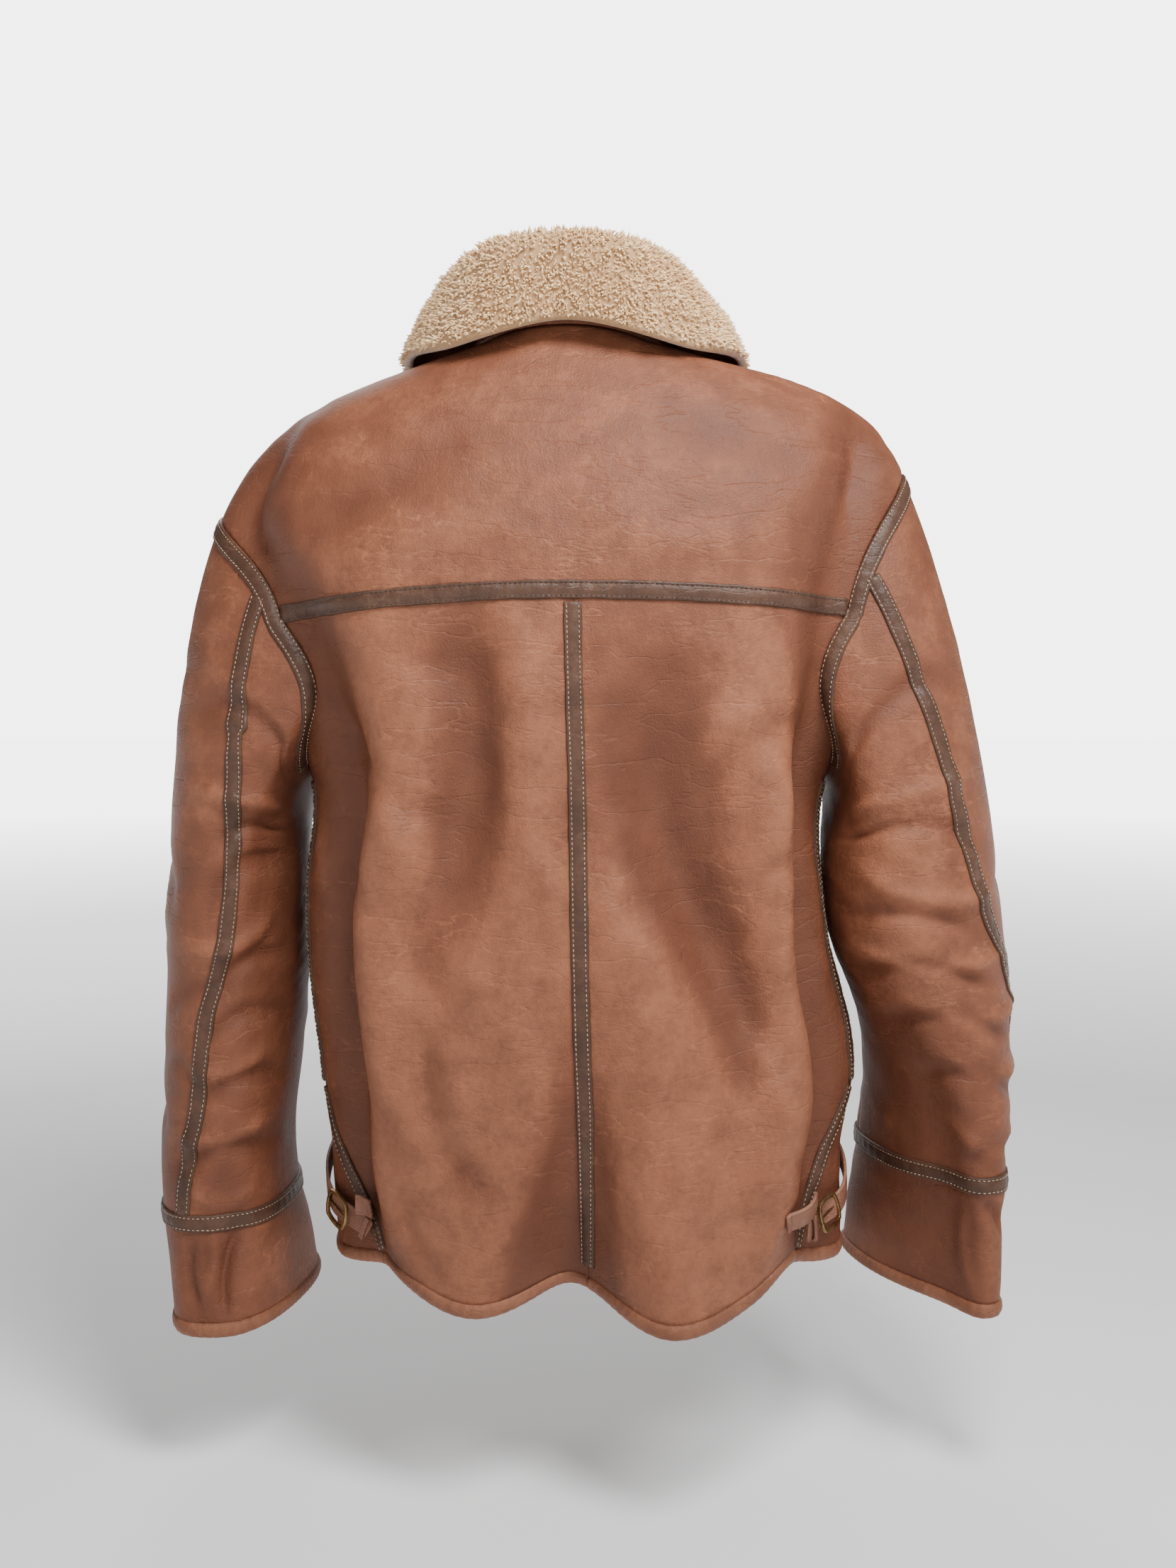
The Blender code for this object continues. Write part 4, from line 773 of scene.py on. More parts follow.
def body_skin(angle: Array, run: Array) -> Array:
    """Outer face of the body with folds, creases and ripples.

    Args:
        angle: Angles from the centre back, in degrees.
        run: 0 at the hem, 1 at the neckline.

    Returns:
        Points in metres.
    """
    angle, run = np.broadcast_arrays(np.asarray(angle, dtype=float), np.asarray(run, dtype=float))
    smooth = body_folded(angle, run)
    out = slopes_normal(body_base, angle, run, 1.0, (0.0, 1.0))
    height = sum(crease.height(angle, run, *BODY_SCALE) for crease in BODY_CREASES)
    calm = np.clip((1.0 - run) / 0.06, 0.0, 1.0)
    height = (height + RIPPLE * ripple(smooth, 0.0)) * calm
    turn = np.abs((angle + 180.0) % 360.0 - 180.0)
    hole_angle = (turn - 90.0) / ARMHOLE_HALF
    hole_run = (run - ARMHOLE_RUN) / np.where(run > ARMHOLE_RUN, ARMHOLE_UP, ARMHOLE_DOWN)
    near = np.sqrt(hole_angle**2 + hole_run**2)
    return smooth + out * (height * np.clip((near - 1.0) / 0.16, 0.0, 1.0))[..., None]


def grid_normals(points: Array, way: float) -> Array:
    """Normals of a grid of points, from its neighbours.

    Args:
        points: Rows and columns of points.
        way: Plus or minus one, so that the normals point outwards.

    Returns:
        Normals of length one.
    """
    return unit(np.cross(np.gradient(points, axis=1), np.gradient(points, axis=0))) * way


def sleeve_skin(side: Side, angle: Array, run: Array) -> Array:
    """Outer face of a sleeve with folds, creases and ripples.

    Args:
        side: The wearer's side.
        angle: Angles round the sleeve, 0 at the back.
        run: -1 at the armhole, 0 below the armpit, 1 at the cuff seam.

    Returns:
        Points in metres.
    """
    angle, run = np.broadcast_arrays(np.asarray(angle, dtype=float), np.asarray(run, dtype=float))
    base = sleeve_base(side, angle, run)
    last = SLEEVES[side.label].rows[-1, 0]
    out = slopes_normal(lambda a, r: sleeve_base(side, a, r), angle, run, -side.value, (-1.0, last))
    height = fold_height(SLEEVE_FOLDS[side.label], angle, run)
    for crease in SLEEVE_CREASES[side.label]:
        height = height + crease.height(angle, run, *SLEEVE_SCALE)
    height = height + RIPPLE_SLEEVE * ripple(base, 2.0 + side.value)
    fade = np.clip((run + 1.0) / 0.3, 0.0, 1.0)
    return base + out * (height * fade)[..., None]


class Socket:
    """A number in a material, with Python's operators as Math nodes."""

    def __init__(self, tree: bpy.types.NodeTree, output: bpy.types.NodeSocket) -> None:
        """Wrap one output.

        Args:
            tree: Node tree of the material.
            output: Output socket.
        """
        self.tree = tree
        self.output = output

    def math(self, operation: str, other: "Socket | float", swap: bool = False) -> "Socket":
        """Add one Math node.

        Args:
            operation: The node's operation.
            other: Second value.
            swap: Whether the second value comes first.

        Returns:
            The result.
        """
        node = self.tree.nodes.new("ShaderNodeMath")
        node.operation = operation
        for number, value in enumerate((other, self) if swap else (self, other)):
            if isinstance(value, Socket):
                self.tree.links.new(value.output, node.inputs[number])
            else:
                node.inputs[number].default_value = float(value)
        return Socket(self.tree, node.outputs[0])

    def __add__(self, other: "Socket | float") -> "Socket":
        """Sum."""
        return self.math("ADD", other)

    __radd__ = __add__

    def __sub__(self, other: "Socket | float") -> "Socket":
        """Difference."""
        return self.math("SUBTRACT", other)

    def __rsub__(self, other: float) -> "Socket":
        """Difference from a number."""
        return self.math("SUBTRACT", other, swap=True)

    def __mul__(self, other: "Socket | float") -> "Socket":
        """Product."""
        return self.math("MULTIPLY", other)

    __rmul__ = __mul__

    def __truediv__(self, other: "Socket | float") -> "Socket":
        """Quotient."""
        return self.math("DIVIDE", other)

    def __pow__(self, other: float) -> "Socket":
        """Power."""
        return self.math("POWER", other)

    def at_most(self, other: "Socket | float") -> "Socket":
        """Smaller of two values."""
        return self.math("MINIMUM", other)

    def at_least(self, other: "Socket | float") -> "Socket":
        """Larger of two values."""
        return self.math("MAXIMUM", other)


Colour = tuple[float, float, float]


class Shader:
    """One Principled material and the nodes that feed it."""

    def __init__(self, name: str) -> None:
        """Start a material.

        Args:
            name: Name of the material.
        """
        self.material = bpy.data.materials.new(name)
        self.material.use_nodes = True
        self.tree = self.material.node_tree
        self.principled = self.tree.nodes["Principled BSDF"]

    def node(self, kind: str, settings: dict[str, object], values: dict[str, object]) -> bpy.types.Node:
        """Add a node.

        Args:
            kind: Type of the node.
            settings: Its settings, with stops for a ramp as (place, colour).
            values: Values or links of its sockets, by name.

        Returns:
            The node.
        """
        node = self.tree.nodes.new(kind)
        for name, value in settings.items():
            if name == "stops":
                ramp = node.color_ramp
                while len(ramp.elements) < len(value):
                    ramp.elements.new(0.5)
                for element, (place, colour) in zip(ramp.elements, value):
                    element.position = place
                    element.color = (*colour, 1.0)
            else:
                setattr(node, name, value)
        for name, value in values.items():
            self.feed(node, name, value)
        return node

    def feed(self, node: bpy.types.Node, name: str, value: object) -> None:
        """Set or link one socket.

        Args:
            node: The node.
            name: Name of the socket.
            value: Number, colour, Socket or output.
        """
        socket = [s for s in node.inputs if s.name == name and s.enabled][0]
        if isinstance(value, Socket):
            self.tree.links.new(value.output, socket)
        elif isinstance(value, bpy.types.NodeSocket):
            self.tree.links.new(value, socket)
        elif isinstance(value, tuple) and len(value) == 3 and socket.type == "RGBA":
            socket.default_value = (*value, 1.0)
        else:
            socket.default_value = value

    def place(self, scale: tuple[float, float, float] = (1.0, 1.0, 1.0)) -> bpy.types.NodeSocket:
        """Object coordinates, stretched.

        Args:
            scale: Scale along each axis.

        Returns:
            The coordinates.
        """
        coords = self.node("ShaderNodeTexCoord", {}, {})
        mapped = self.node("ShaderNodeMapping", {}, {"Vector": coords.outputs["Object"], "Scale": scale})
        return mapped.outputs[0]

    def cloud(self, scale: float, detail: float, rough: float, at: bpy.types.NodeSocket) -> Socket:
        """Soft noise.

        Args:
            scale: Waves for each metre.
            detail: Octaves.
            rough: Roughness of the octaves.
            at: Coordinates.

        Returns:
            Noise between 0 and 1.
        """
        values = {"Scale": scale, "Detail": detail, "Roughness": rough, "Vector": at}
        return Socket(self.tree, self.node("ShaderNodeTexNoise", {}, values).outputs[0])

    def cells(self, scale: float, at: bpy.types.NodeSocket, feature: str = "F1") -> Socket:
        """Cell pattern's distance.

        Args:
            scale: Cells for each metre.
            at: Coordinates.
            feature: Which distance.

        Returns:
            The distance.
        """
        node = self.node("ShaderNodeTexVoronoi", {"feature": feature}, {"Scale": scale, "Vector": at})
        return Socket(self.tree, node.outputs["Distance"])

    def painted(self, name: str) -> Socket:
        """Number kept on the mesh's points.

        Args:
            name: Name of the attribute.

        Returns:
            Its value.
        """
        node = self.node("ShaderNodeAttribute", {"attribute_name": name}, {})
        return Socket(self.tree, node.outputs["Fac"])

    def blend(self, share: Socket | float, first: object, second: object) -> bpy.types.NodeSocket:
        """Mix two colours.

        Args:
            share: Share of the second.
            first: First colour.
            second: Second colour.

        Returns:
            The mixed colour.
        """
        node = self.tree.nodes.new("ShaderNodeMix")
        node.data_type = "RGBA"
        for socket, value in ((node.inputs[0], share), (node.inputs[6], first), (node.inputs[7], second)):
            if isinstance(value, Socket):
                self.tree.links.new(value.output, socket)
            elif isinstance(value, bpy.types.NodeSocket):
                self.tree.links.new(value, socket)
            elif isinstance(value, tuple):
                socket.default_value = (*value, 1.0)
            else:
                socket.default_value = value
        return node.outputs[2]

    def ramp(self, value: Socket, low: float, high: float) -> Socket:
        """Value stretched from low..high to 0..1 and clipped.

        Args:
            value: The value.
            low: Value that gives 0.
            high: Value that gives 1.

        Returns:
            The clipped value.
        """
        return ((value - low) / (high - low)).at_least(0.0).at_most(1.0)

    def finish(
        self, colour: object, rough: object, height: Socket | None, strength: float, deep: float
    ) -> None:
        """Feed the Principled shader.

        Args:
            colour: Base colour.
            rough: Roughness.
            height: Height for the bump, or None.
            strength: Strength of the bump.
            deep: Distance of the bump in metres.
        """
        self.feed(self.principled, "Base Color", colour)
        self.feed(self.principled, "Roughness", rough)
        if height is not None:
            values = {"Strength": strength, "Distance": deep, "Height": height}
            bump = self.node("ShaderNodeBump", {}, values)
            self.feed(self.principled, "Normal", bump.outputs[0])


@dataclass(frozen=True)
class Leather:
    """Waxed sheepskin leather: mottled, pebbled, with pale creases, a painted highlight on the ridges of its
    folds and painted shade in their troughs.
    """

    name: str
    pale: Colour
    main: Colour
    dark: Colour
    rough: float = 0.50
    grain: float = 0.0007

    def build(self) -> bpy.types.Material:
        """Build the material."""
        shader = Shader(self.name)
        at = shader.place()
        wide = shader.cloud(7.0, 4.0, 0.55, at)
        mottle = shader.cloud(38.0, 5.0, 0.62, at)
        fine = shader.cloud(230.0, 3.0, 0.6, at)
        slant = shader.place((1.0, 1.0, 0.32))
        creases = shader.cloud(150.0, 4.0, 0.55, slant)
        pebble = shader.cells(640.0, at)
        pores = shader.cells(1500.0, at)
        crease = shader.painted("crease")
        patch = shader.ramp(wide * 0.35 + mottle * 0.65, 0.30, 0.58)
        base = shader.blend(patch * 0.55 + 0.45, self.dark, self.main)
        # Random mottled tone, plus a painted highlight on the ridges of the folds from the crease mark
        tone_and_ridge_highlight = shader.ramp(mottle * 0.5 + fine * 0.35 + crease * 0.22, 0.42, 0.86)
        base = shader.blend(tone_and_ridge_highlight * 0.66, base, self.pale)
        level = shader.place((0.30, 0.30, 1.0))
        lines = shader.cloud(46.0, 3.0, 0.5, level)
        thin = 1.0 - shader.ramp((lines - 0.5).math("ABSOLUTE", 0.0), 0.0, 0.022)
        scuff = thin * shader.ramp(wide, 0.46, 0.60) * shader.ramp(fine, 0.40, 0.60)
        base = shader.blend(scuff * 0.42, base, self.pale)
        # Painted shade: the troughs of the folds are darkened by their depth
        deep = shader.ramp(0.0 - crease, 0.05, 0.9)
        base = shader.blend(deep * 0.42, base, self.dark)
        rough = self.rough + (mottle - 0.5) * 0.22 + pores * 0.06
        height = pebble * 0.5 + pores * 0.25 + fine * 0.5 - thin * 0.5 + creases * 0.9 + mottle * 1.2
        shader.finish(base, rough, height, 0.8, self.grain)
        shader.principled.inputs["Specular IOR Level"].default_value = 0.24
        return shader.material


@dataclass(frozen=True)
class Wool:
    """Sheared wool, tan, with painted shade darkening it towards the roots of the pile."""

    name: str
    pale: Colour
    main: Colour
    dark: Colour

    def build(self) -> bpy.types.Material:
        """Build the material."""
        shader = Shader(self.name)
        at = shader.place()
        clumps = shader.cells(210.0, at)
        wide = shader.cloud(16.0, 3.0, 0.6, at)
        fine = shader.cloud(420.0, 3.0, 0.7, at)
        tip = shader.painted("tip")
        base = shader.blend(shader.ramp(wide * 0.5 + clumps * 0.5, 0.28, 0.62), self.pale, self.main)
        # Painted shade deep in the pile: darker towards the roots of the tufts, and all over where no tip
        # mark is kept
        base = shader.blend(shader.ramp(tip, 0.55, 0.0) * 0.75, base, self.dark)
        shader.finish(base, 0.92, clumps * -0.7 + fine * 0.5, 0.7, 0.0016)
        shader.principled.inputs["Sheen Weight"].default_value = 0.35
        shader.principled.inputs["Sheen Roughness"].default_value = 0.5
        shader.principled.inputs["Specular IOR Level"].default_value = 0.15
        return shader.material


@dataclass(frozen=True)
class Plain:
    """Thread, woven tape or metal: one colour with fine unevenness."""

    name: str
    main: Colour
    dark: Colour
    rough: float
    metallic: float = 0.0
    scale: float = 900.0
    bump: float = 0.0002

    def build(self) -> bpy.types.Material:
        """Build the material."""
        shader = Shader(self.name)
        at = shader.place()
        fine = shader.cloud(self.scale, 3.0, 0.6, at)
        wide = shader.cloud(60.0, 3.0, 0.6, at)
        base = shader.blend(shader.ramp(fine * 0.5 + wide * 0.5, 0.38, 0.62), self.dark, self.main)
        shader.finish(base, self.rough + (wide - 0.5) * 0.2, fine, 0.5, self.bump)
        shader.principled.inputs["Metallic"].default_value = self.metallic
        return shader.material


FINISHES = {
    "leather": Leather("jacket_leather", (0.375, 0.146, 0.076), (0.190, 0.066, 0.033), (0.074, 0.023, 0.012)),
    "tape": Leather(
        "tape_leather", (0.170, 0.088, 0.054), (0.074, 0.036, 0.022), (0.028, 0.014, 0.010), 0.40, 0.0004
    ),
    "edging": Leather("edging_leather", (0.360, 0.155, 0.086), (0.215, 0.082, 0.043), (0.100, 0.036, 0.020)),
    "strap": Leather("strap_leather", (0.460, 0.240, 0.160), (0.230, 0.100, 0.062), (0.085, 0.036, 0.024)),
    "wool": Wool("collar_wool", (0.950, 0.680, 0.390), (0.820, 0.530, 0.260), (0.380, 0.210, 0.090)),
    # The collar band's wool under the pile: a darker copy of the collar's wool, painted shade beneath the
    # tufts
    "wool_base_in_shade": Wool("wool_ground_in_shade", (0.640, 0.420, 0.235), (0.520, 0.320, 0.165), (0.300, 0.170, 0.080)),
    "lining": Wool("inner_wool", (0.700, 0.480, 0.280), (0.520, 0.320, 0.170), (0.200, 0.110, 0.050)),
    "light_thread": Plain("light_thread", (0.600, 0.420, 0.280), (0.340, 0.220, 0.140), 0.7),
    "dark_thread": Plain("dark_thread", (0.060, 0.036, 0.028), (0.020, 0.012, 0.010), 0.6),
    "brass": Plain("antique_brass", (0.480, 0.330, 0.150), (0.200, 0.120, 0.050), 0.36, 1.0, 500.0, 0.00015),
    "zip": Plain("zip_tape", (0.035, 0.026, 0.022), (0.014, 0.010, 0.009), 0.85, 0.0, 1600.0, 0.0003),
}


MARK_SCALE = 0.004

# Columns of the panels, from the centre back round to the zip
BACK_MIDS = [0.0, 2.1, 9.0, 17.0, 25.0, 32.0, 37.5, 42.0, 46.5, 50.5, 54.5, 59.0, 65.0, 70.1, 72.0]
BACK_TOPS = [0.0, 2.1, 9.0, 17.0, 25.0, 32.5, 38.0, 42.5, 46.5, 50.0]
BACK_TURNS = [360.0, 340.0, 322.0, 305.0, 299.0]
YOKE_TURNS = [0.0, 20.0, 38.0, 54.0, 68.0, 82.0, 96.0, 113.0]
FRONT_TURNS = [299.0, 293.0, 284.0, 268.0, 250.0, 232.0, 216.0, 198.0, 180.0]
FRONT_UPPER_TURNS = [113.0, 130.0, 148.0, 165.0, 180.0]
FRONT_TOPS = [133.0, 141.0, 150.0, 159.0, 168.0, 176.0, FRONT_EDGE]

SIDE_RUN = float(armhole_point(np.array(BACK_TURNS[-1]))[1])
SIDE_ANGLE = float(armhole_point(np.array(BACK_TURNS[-1]))[0])
GUSSET_RUN = 0.33 * SIDE_RUN + 0.003


def gusset_share(run: Array) -> Array:
    """How far the gusset is open at a run: 1 at the hem, 0 at its point."""
    return np.clip((GUSSET_RUN - run) / GUSSET_RUN, 0.0, 1.0)


def back_angle(mid: Array, top: Array, run: Array, top_run: Array) -> Array:
    """Body angle of the back's columns at a run."""
    share = np.clip((run - GUSSET_RUN) / np.maximum(top_run - GUSSET_RUN, 0.01), 0.0, 1.0)
    scaled = mid * SIDE_ANGLE / SIDE_EDGE
    hem = scaled * GUSSET_BACK / SIDE_ANGLE
    bow = ARMHOLE_BOW * np.exp(-(((mid - 90.0 + ARMHOLE_HALF) / 6.0) ** 2))
    upper = scaled + (top - scaled) * share - bow * np.sin(math.pi * share)
    return upper + (hem - scaled) * gusset_share(run)


def front_angle(mid: Array, top: Array, run: Array, top_run: Array) -> Array:
    """Body angle of the front's columns at a run."""
    share = np.clip((run - GUSSET_RUN) / np.maximum(top_run - GUSSET_RUN, 0.01), 0.0, 1.0)
    hem = FRONT_EDGE - (FRONT_EDGE - mid) * (FRONT_EDGE - GUSSET_FRONT) / (FRONT_EDGE - SIDE_ANGLE)
    upper = mid + (top - mid) * share
    return upper + (hem - mid) * gusset_share(run)


def tops_between(
    places: Array, flats: Sequence[float], turns: Sequence[float], flats_first: bool
) -> tuple[Array, Array]:
    """Top ends of columns: along the yoke's seam line and round the armhole.

    Args:
        places: Column places, 0 for the first.
        flats: Angles of the columns that end on the seam line.
        turns: Turns of the columns that end on the armhole.
        flats_first: Whether the seam line comes before the armhole.

    Returns:
        Angle and run of each column's top.
    """
    count = len(flats) if flats_first else len(turns)
    turn_places = np.arange(len(turns)) + (count if flats_first else 0)
    flat_places = np.arange(len(flats)) + (0 if flats_first else count)
    hole_angle, hole_run = armhole_point(np.interp(places, turn_places, turns))
    flat_angle = np.interp(places, flat_places, flats)
    between = np.clip(places - (count - 1), 0.0, 1.0)
    share = between if flats_first else 1.0 - between
    angle = flat_angle + (hole_angle - flat_angle) * share
    return angle, ARMHOLE_RUN + (hole_run - ARMHOLE_RUN) * share


def fine(count: int, each: int) -> Array:
    """Places of columns, with a few between each two.

    Args:
        count: Number of named columns.
        each: Steps from one to the next.

    Returns:
        The places.
    """
    return np.linspace(0.0, count - 1.0, (count - 1) * each + 1)


def back_grid() -> tuple[Array, Array]:
    """Angles and runs of the right back panel."""
    places = fine(len(BACK_MIDS), 4)
    mids = np.interp(places, np.arange(len(BACK_MIDS)), BACK_MIDS)
    tops, top_runs = tops_between(places, BACK_TOPS, BACK_TURNS, True)
    run = np.linspace(0.0, 1.0, 121)[:, None] * top_runs
    return leaned(back_angle(mids, tops, run, top_runs), run), run


def upper_grid(
    tops: Sequence[float], turns: Sequence[float], edge: float, tops_first: bool
) -> tuple[Array, Array]:
    """Angles and runs from the seam line and the armhole up to the neckline.

    Args:
        tops: Angles along the seam line.
        turns: Turns round the armhole.
        edge: Angle of the centre edge.
        tops_first: Whether the seam line comes first.

    Returns:
        The angles and the runs.
    """
    count = len(tops) + len(turns)
    places = fine(count, 4)
    start, start_run = tops_between(places, tops, turns, tops_first)
    shoulder = float(armhole_point(np.array(YOKE_TURNS[-1]))[0])
    first, last = (edge, shoulder) if tops_first else (shoulder, edge)
    end = first + (last - first) * places / (count - 1.0)
    row = np.linspace(0.0, 1.0, 62)[:, None]
    angle = start + (end - start) * row**YOKE_EASE
    run = start_run + (1.0 - start_run) * row
    return leaned(angle, run), run


def front_grid() -> tuple[Array, Array]:
    """Angles and runs of the right front panel below the armhole's middle."""
    count = len(FRONT_TURNS) + len(FRONT_TOPS)
    places = fine(count, 4)
    tops, top_runs = tops_between(places, FRONT_TOPS, FRONT_TURNS, False)
    mids = SIDE_ANGLE + (FRONT_EDGE - SIDE_ANGLE) * places / (count - 1.0)
    run = np.linspace(0.0, 1.0, 121)[:, None] * top_runs
    return leaned(front_angle(mids, tops, run, top_runs), run), run


def gusset_grid() -> tuple[Array, Array]:
    """Angles and runs of the right gusset, from its back seam to its front seam."""
    run = np.linspace(0.0, GUSSET_RUN * 0.985, 46)[:, None]
    back = back_angle(np.array(SIDE_EDGE), np.array(SIDE_ANGLE), run, np.array(SIDE_RUN))
    front = front_angle(np.array(SIDE_ANGLE), np.array(SIDE_ANGLE), run, np.array(SIDE_RUN))
    angle = back + (front - back) * np.linspace(0.0, 1.0, 17)
    return angle, run + 0.0 * angle


def new_object(name: str, points: Array, faces: Sequence[Sequence[int]]) -> bpy.types.Object:
    """Mesh object made from points and faces, at the origin.

    Args:
        name: Name of the object.
        points: Points in metres.
        faces: Corner numbers of each face.

    Returns:
        The object, with smooth faces.
    """
    mesh = bpy.data.meshes.new(name)
    mesh.from_pydata([tuple(point) for point in np.asarray(points, dtype=float).tolist()], [], faces)
    mesh.validate()
    obj = bpy.data.objects.new(name, mesh)
    bpy.context.scene.collection.objects.link(obj)
    mesh.polygons.foreach_set("use_smooth", [True] * len(mesh.polygons))
    return obj


def paint(obj: bpy.types.Object, name: str, values: Array) -> None:
    """Keep a number on each point of a mesh, for its material.

    Args:
        obj: The object.
        name: Name of the attribute.
        values: One number for each point.
    """
    layer = obj.data.attributes.new(name, "FLOAT", "POINT")
    layer.data.foreach_set("value", np.asarray(values, dtype=np.float32))


class Cloth:
    """Grids of points joined into one sheet and given the wall's thickness."""

    def __init__(self, name: str) -> None:
        """Start a sheet.

        Args:
            name: Name of the piece.
        """
        self.name = name
        self.points: list[Array] = []
        self.normals: list[Array] = []
        self.marks: list[Array] = []
        self.quads: list[Array] = []
        self.count = 0

    def add(self, points: Array, normals: Array, marks: Array, flip: bool = False) -> None:
        """Add one grid.

        Args:
            points: Rows and columns of points.
            normals: Outward normals.
            marks: Crease height of each point, from -1 to 1.
            flip: Whether the corners run the other way round.
        """
        rows, columns = points.shape[:2]
        number = np.arange(rows * columns).reshape(rows, columns) + self.count
        corners = [number[:-1, :-1], number[:-1, 1:], number[1:, 1:], number[1:, :-1]]
        quads = np.stack(corners[::-1] if flip else corners, axis=-1).reshape(-1, 4)
        self.points.append(points.reshape(-1, 3))
        self.normals.append(normals.reshape(-1, 3))
        self.marks.append(marks.reshape(-1))
        self.quads.append(quads)
        self.count += rows * columns

    def build(self, wall: float, outer: bpy.types.Material, inner: bpy.types.Material) -> bpy.types.Object:
        """Make the wall: outer face, inner face and the edges between.

        Args:
            wall: Thickness in metres.
            outer: Material of the outer face and the edges.
            inner: Material of the inner face.

        Returns:
            The object.
        """
        points = np.concatenate(self.points)
        keys = np.round(points / 2e-5).astype(np.int64)
        _, first, where = np.unique(keys, axis=0, return_index=True, return_inverse=True)
        where = where.reshape(-1)
        points = points[first]
        normals = np.concatenate(self.normals)[first]
        marks = np.concatenate(self.marks)[first]
        quads = where[np.concatenate(self.quads)]
        kept = np.array([len(set(quad)) == 4 for quad in quads.tolist()])
        quads = quads[kept]
        edges = np.concatenate([quads[:, [k, (k + 1) % 4]] for k in range(4)])
        ordered = np.sort(edges, axis=1)
        size = len(points)
        code = ordered[:, 0] * size + ordered[:, 1]
        _, spot, times = np.unique(code, return_index=True, return_counts=True)
        rim = edges[spot[times == 1]]
        sides = np.stack([rim[:, 1], rim[:, 0], rim[:, 0] + size, rim[:, 1] + size], axis=1)
        faces = np.concatenate([quads, sides, quads[:, ::-1] + size]).tolist()
        obj = new_object(self.name, np.concatenate([points, points - normals * wall]), faces)
        obj.data.materials.append(outer)
        obj.data.materials.append(inner)
        index = np.zeros(len(faces), dtype=np.int32)
        index[len(quads) + len(sides):] = 1
        obj.data.polygons.foreach_set("material_index", index)
        sharp = np.zeros(len(faces), dtype=bool)
        sharp[len(quads) : len(quads) + len(sides)] = True
        obj.data.polygons.foreach_set("use_smooth", ~sharp)
        paint(obj, "crease", np.concatenate([marks, 0.0 * marks]))
        return obj


# The leather's colour reads this mark: a painted highlight on the ridges and painted shade in the troughs.
def crease_mark(skin: Array, base: Array, normals: Array) -> Array:
    """How far the skin stands out of the smooth surface, from -1 to 1."""
    return np.clip(((skin - base) * normals).sum(axis=-1) / MARK_SCALE, -1.0, 1.0)


def add_body_grid(cloth: Cloth, angle: Array, run: Array, side: Side) -> None:
    """Add one of the body's grids to a sheet.

    Args:
        cloth: The sheet.
        angle: Angles on the right side.
        run: Runs.
        side: Side to make it on.
    """
    turned = angle * side.value
    skin = body_skin(turned, run)
    normals = grid_normals(skin, side.value)
    marks = crease_mark(skin, body_base(turned, run), normals)
    cloth.add(skin, normals, marks, flip=side is Side.LEFT)


@dataclass(frozen=True)
class Ground:
    """A skin that strips and stitches lie on."""

    skin: Surface
    base: Surface
    way: float
    ends: tuple[float, float]

    def normal(self, angle: Array, run: Array) -> Array:
        """Outward normal of the smooth surface."""
        return slopes_normal(self.base, angle, run, self.way, self.ends)

    def frame(self, angle: Array, run: Array) -> tuple[Array, Array, Array]:
        """Lateral step for each metre across a path, in angle and run.

        Args:
            angle: Angles along the path.
            run: Runs along the path.

        Returns:
            Angle and run for each metre across, and the path's length so far.
        """
        per_angle = self.base(angle + 0.5, run) - self.base(angle - 0.5, run)
        per_run = (self.base(angle, run + 0.003) - self.base(angle, run - 0.003)) / 0.006
        aa = (per_angle * per_angle).sum(-1)
        ar = (per_angle * per_run).sum(-1)
        rr = (per_run * per_run).sum(-1)
        da = np.gradient(angle)
        dr = np.gradient(run)
        size = np.sqrt(np.maximum(aa * da * da + 2 * ar * da * dr + rr * dr * dr, 1e-16))
        area = np.sqrt(np.maximum(aa * rr - ar * ar, 1e-16))
        across_angle = -(ar * da + rr * dr) / (area * size)
        across_run = (aa * da + ar * dr) / (area * size)
        points = self.skin(angle, run)
        steps = np.linalg.norm(np.diff(points, axis=0), axis=-1)
        return across_angle, across_run, np.concatenate([[0.0], np.cumsum(steps)])


class Line:
    """A path on a skin, as angles and runs."""

    def __init__(self, ground: Ground, angle: Array, run: Array) -> None:
        """Keep a path.

        Args:
            ground: Skin that it lies on.
            angle: Angles along it.
            run: Runs along it.
        """
        self.ground = ground
        self.angle = angle
        self.run = run
        self.step_angle, self.step_run, self.along = ground.frame(angle, run)

    def even(self, pitch: float) -> "Line":
        """The same path with points at an even pitch.

        Args:
            pitch: Distance between points in metres.

        Returns:
            The new path.
        """
        count = max(int(self.along[-1] / pitch), 3)
        places = np.linspace(0.0, self.along[-1], count + 1)
        angle = np.interp(places, self.along, self.angle)
        return Line(self.ground, angle, np.interp(places, self.along, self.run))

    def points(self, across: float | Array, lift: float | Array) -> Array:
        """Points beside the path.

        Args:
            across: Distance across in metres, for the path or for several rows.
            lift: Height over the skin in metres.

        Returns:
            A point for each place, in each row.
        """
        angle = self.angle + self.step_angle * across
        run = self.run + self.step_run * across
        out = self.ground.normal(angle, run)
        return self.ground.skin(angle, run) + out * (np.zeros(angle.shape) + lift)[..., None]


def loft(name: str, rings: Sequence[Array], closed: bool, material: bpy.types.Material) -> bpy.types.Object:
    """Tube through rings.

    Args:
        name: Name of the object.
        rings: Rings of points, all of one length.
        closed: Whether the last ring joins the first.
        material: Its material.

    Returns:
        The object.
    """
    grid = np.array(rings)
    count, size = grid.shape[:2]
    faces = []
    for i in range(count if closed else count - 1):
        here, there = i * size, (i + 1) % count * size
        for j in range(size):
            k = (j + 1) % size
            faces.append((here + j, here + k, there + k, there + j))
    if not closed:
        faces.append(tuple(range(size))[::-1])
        faces.append(tuple(range((count - 1) * size, count * size)))
    obj = new_object(name, grid.reshape(-1, 3), faces)
    outward(obj)
    obj.data.materials.append(material)
    return obj


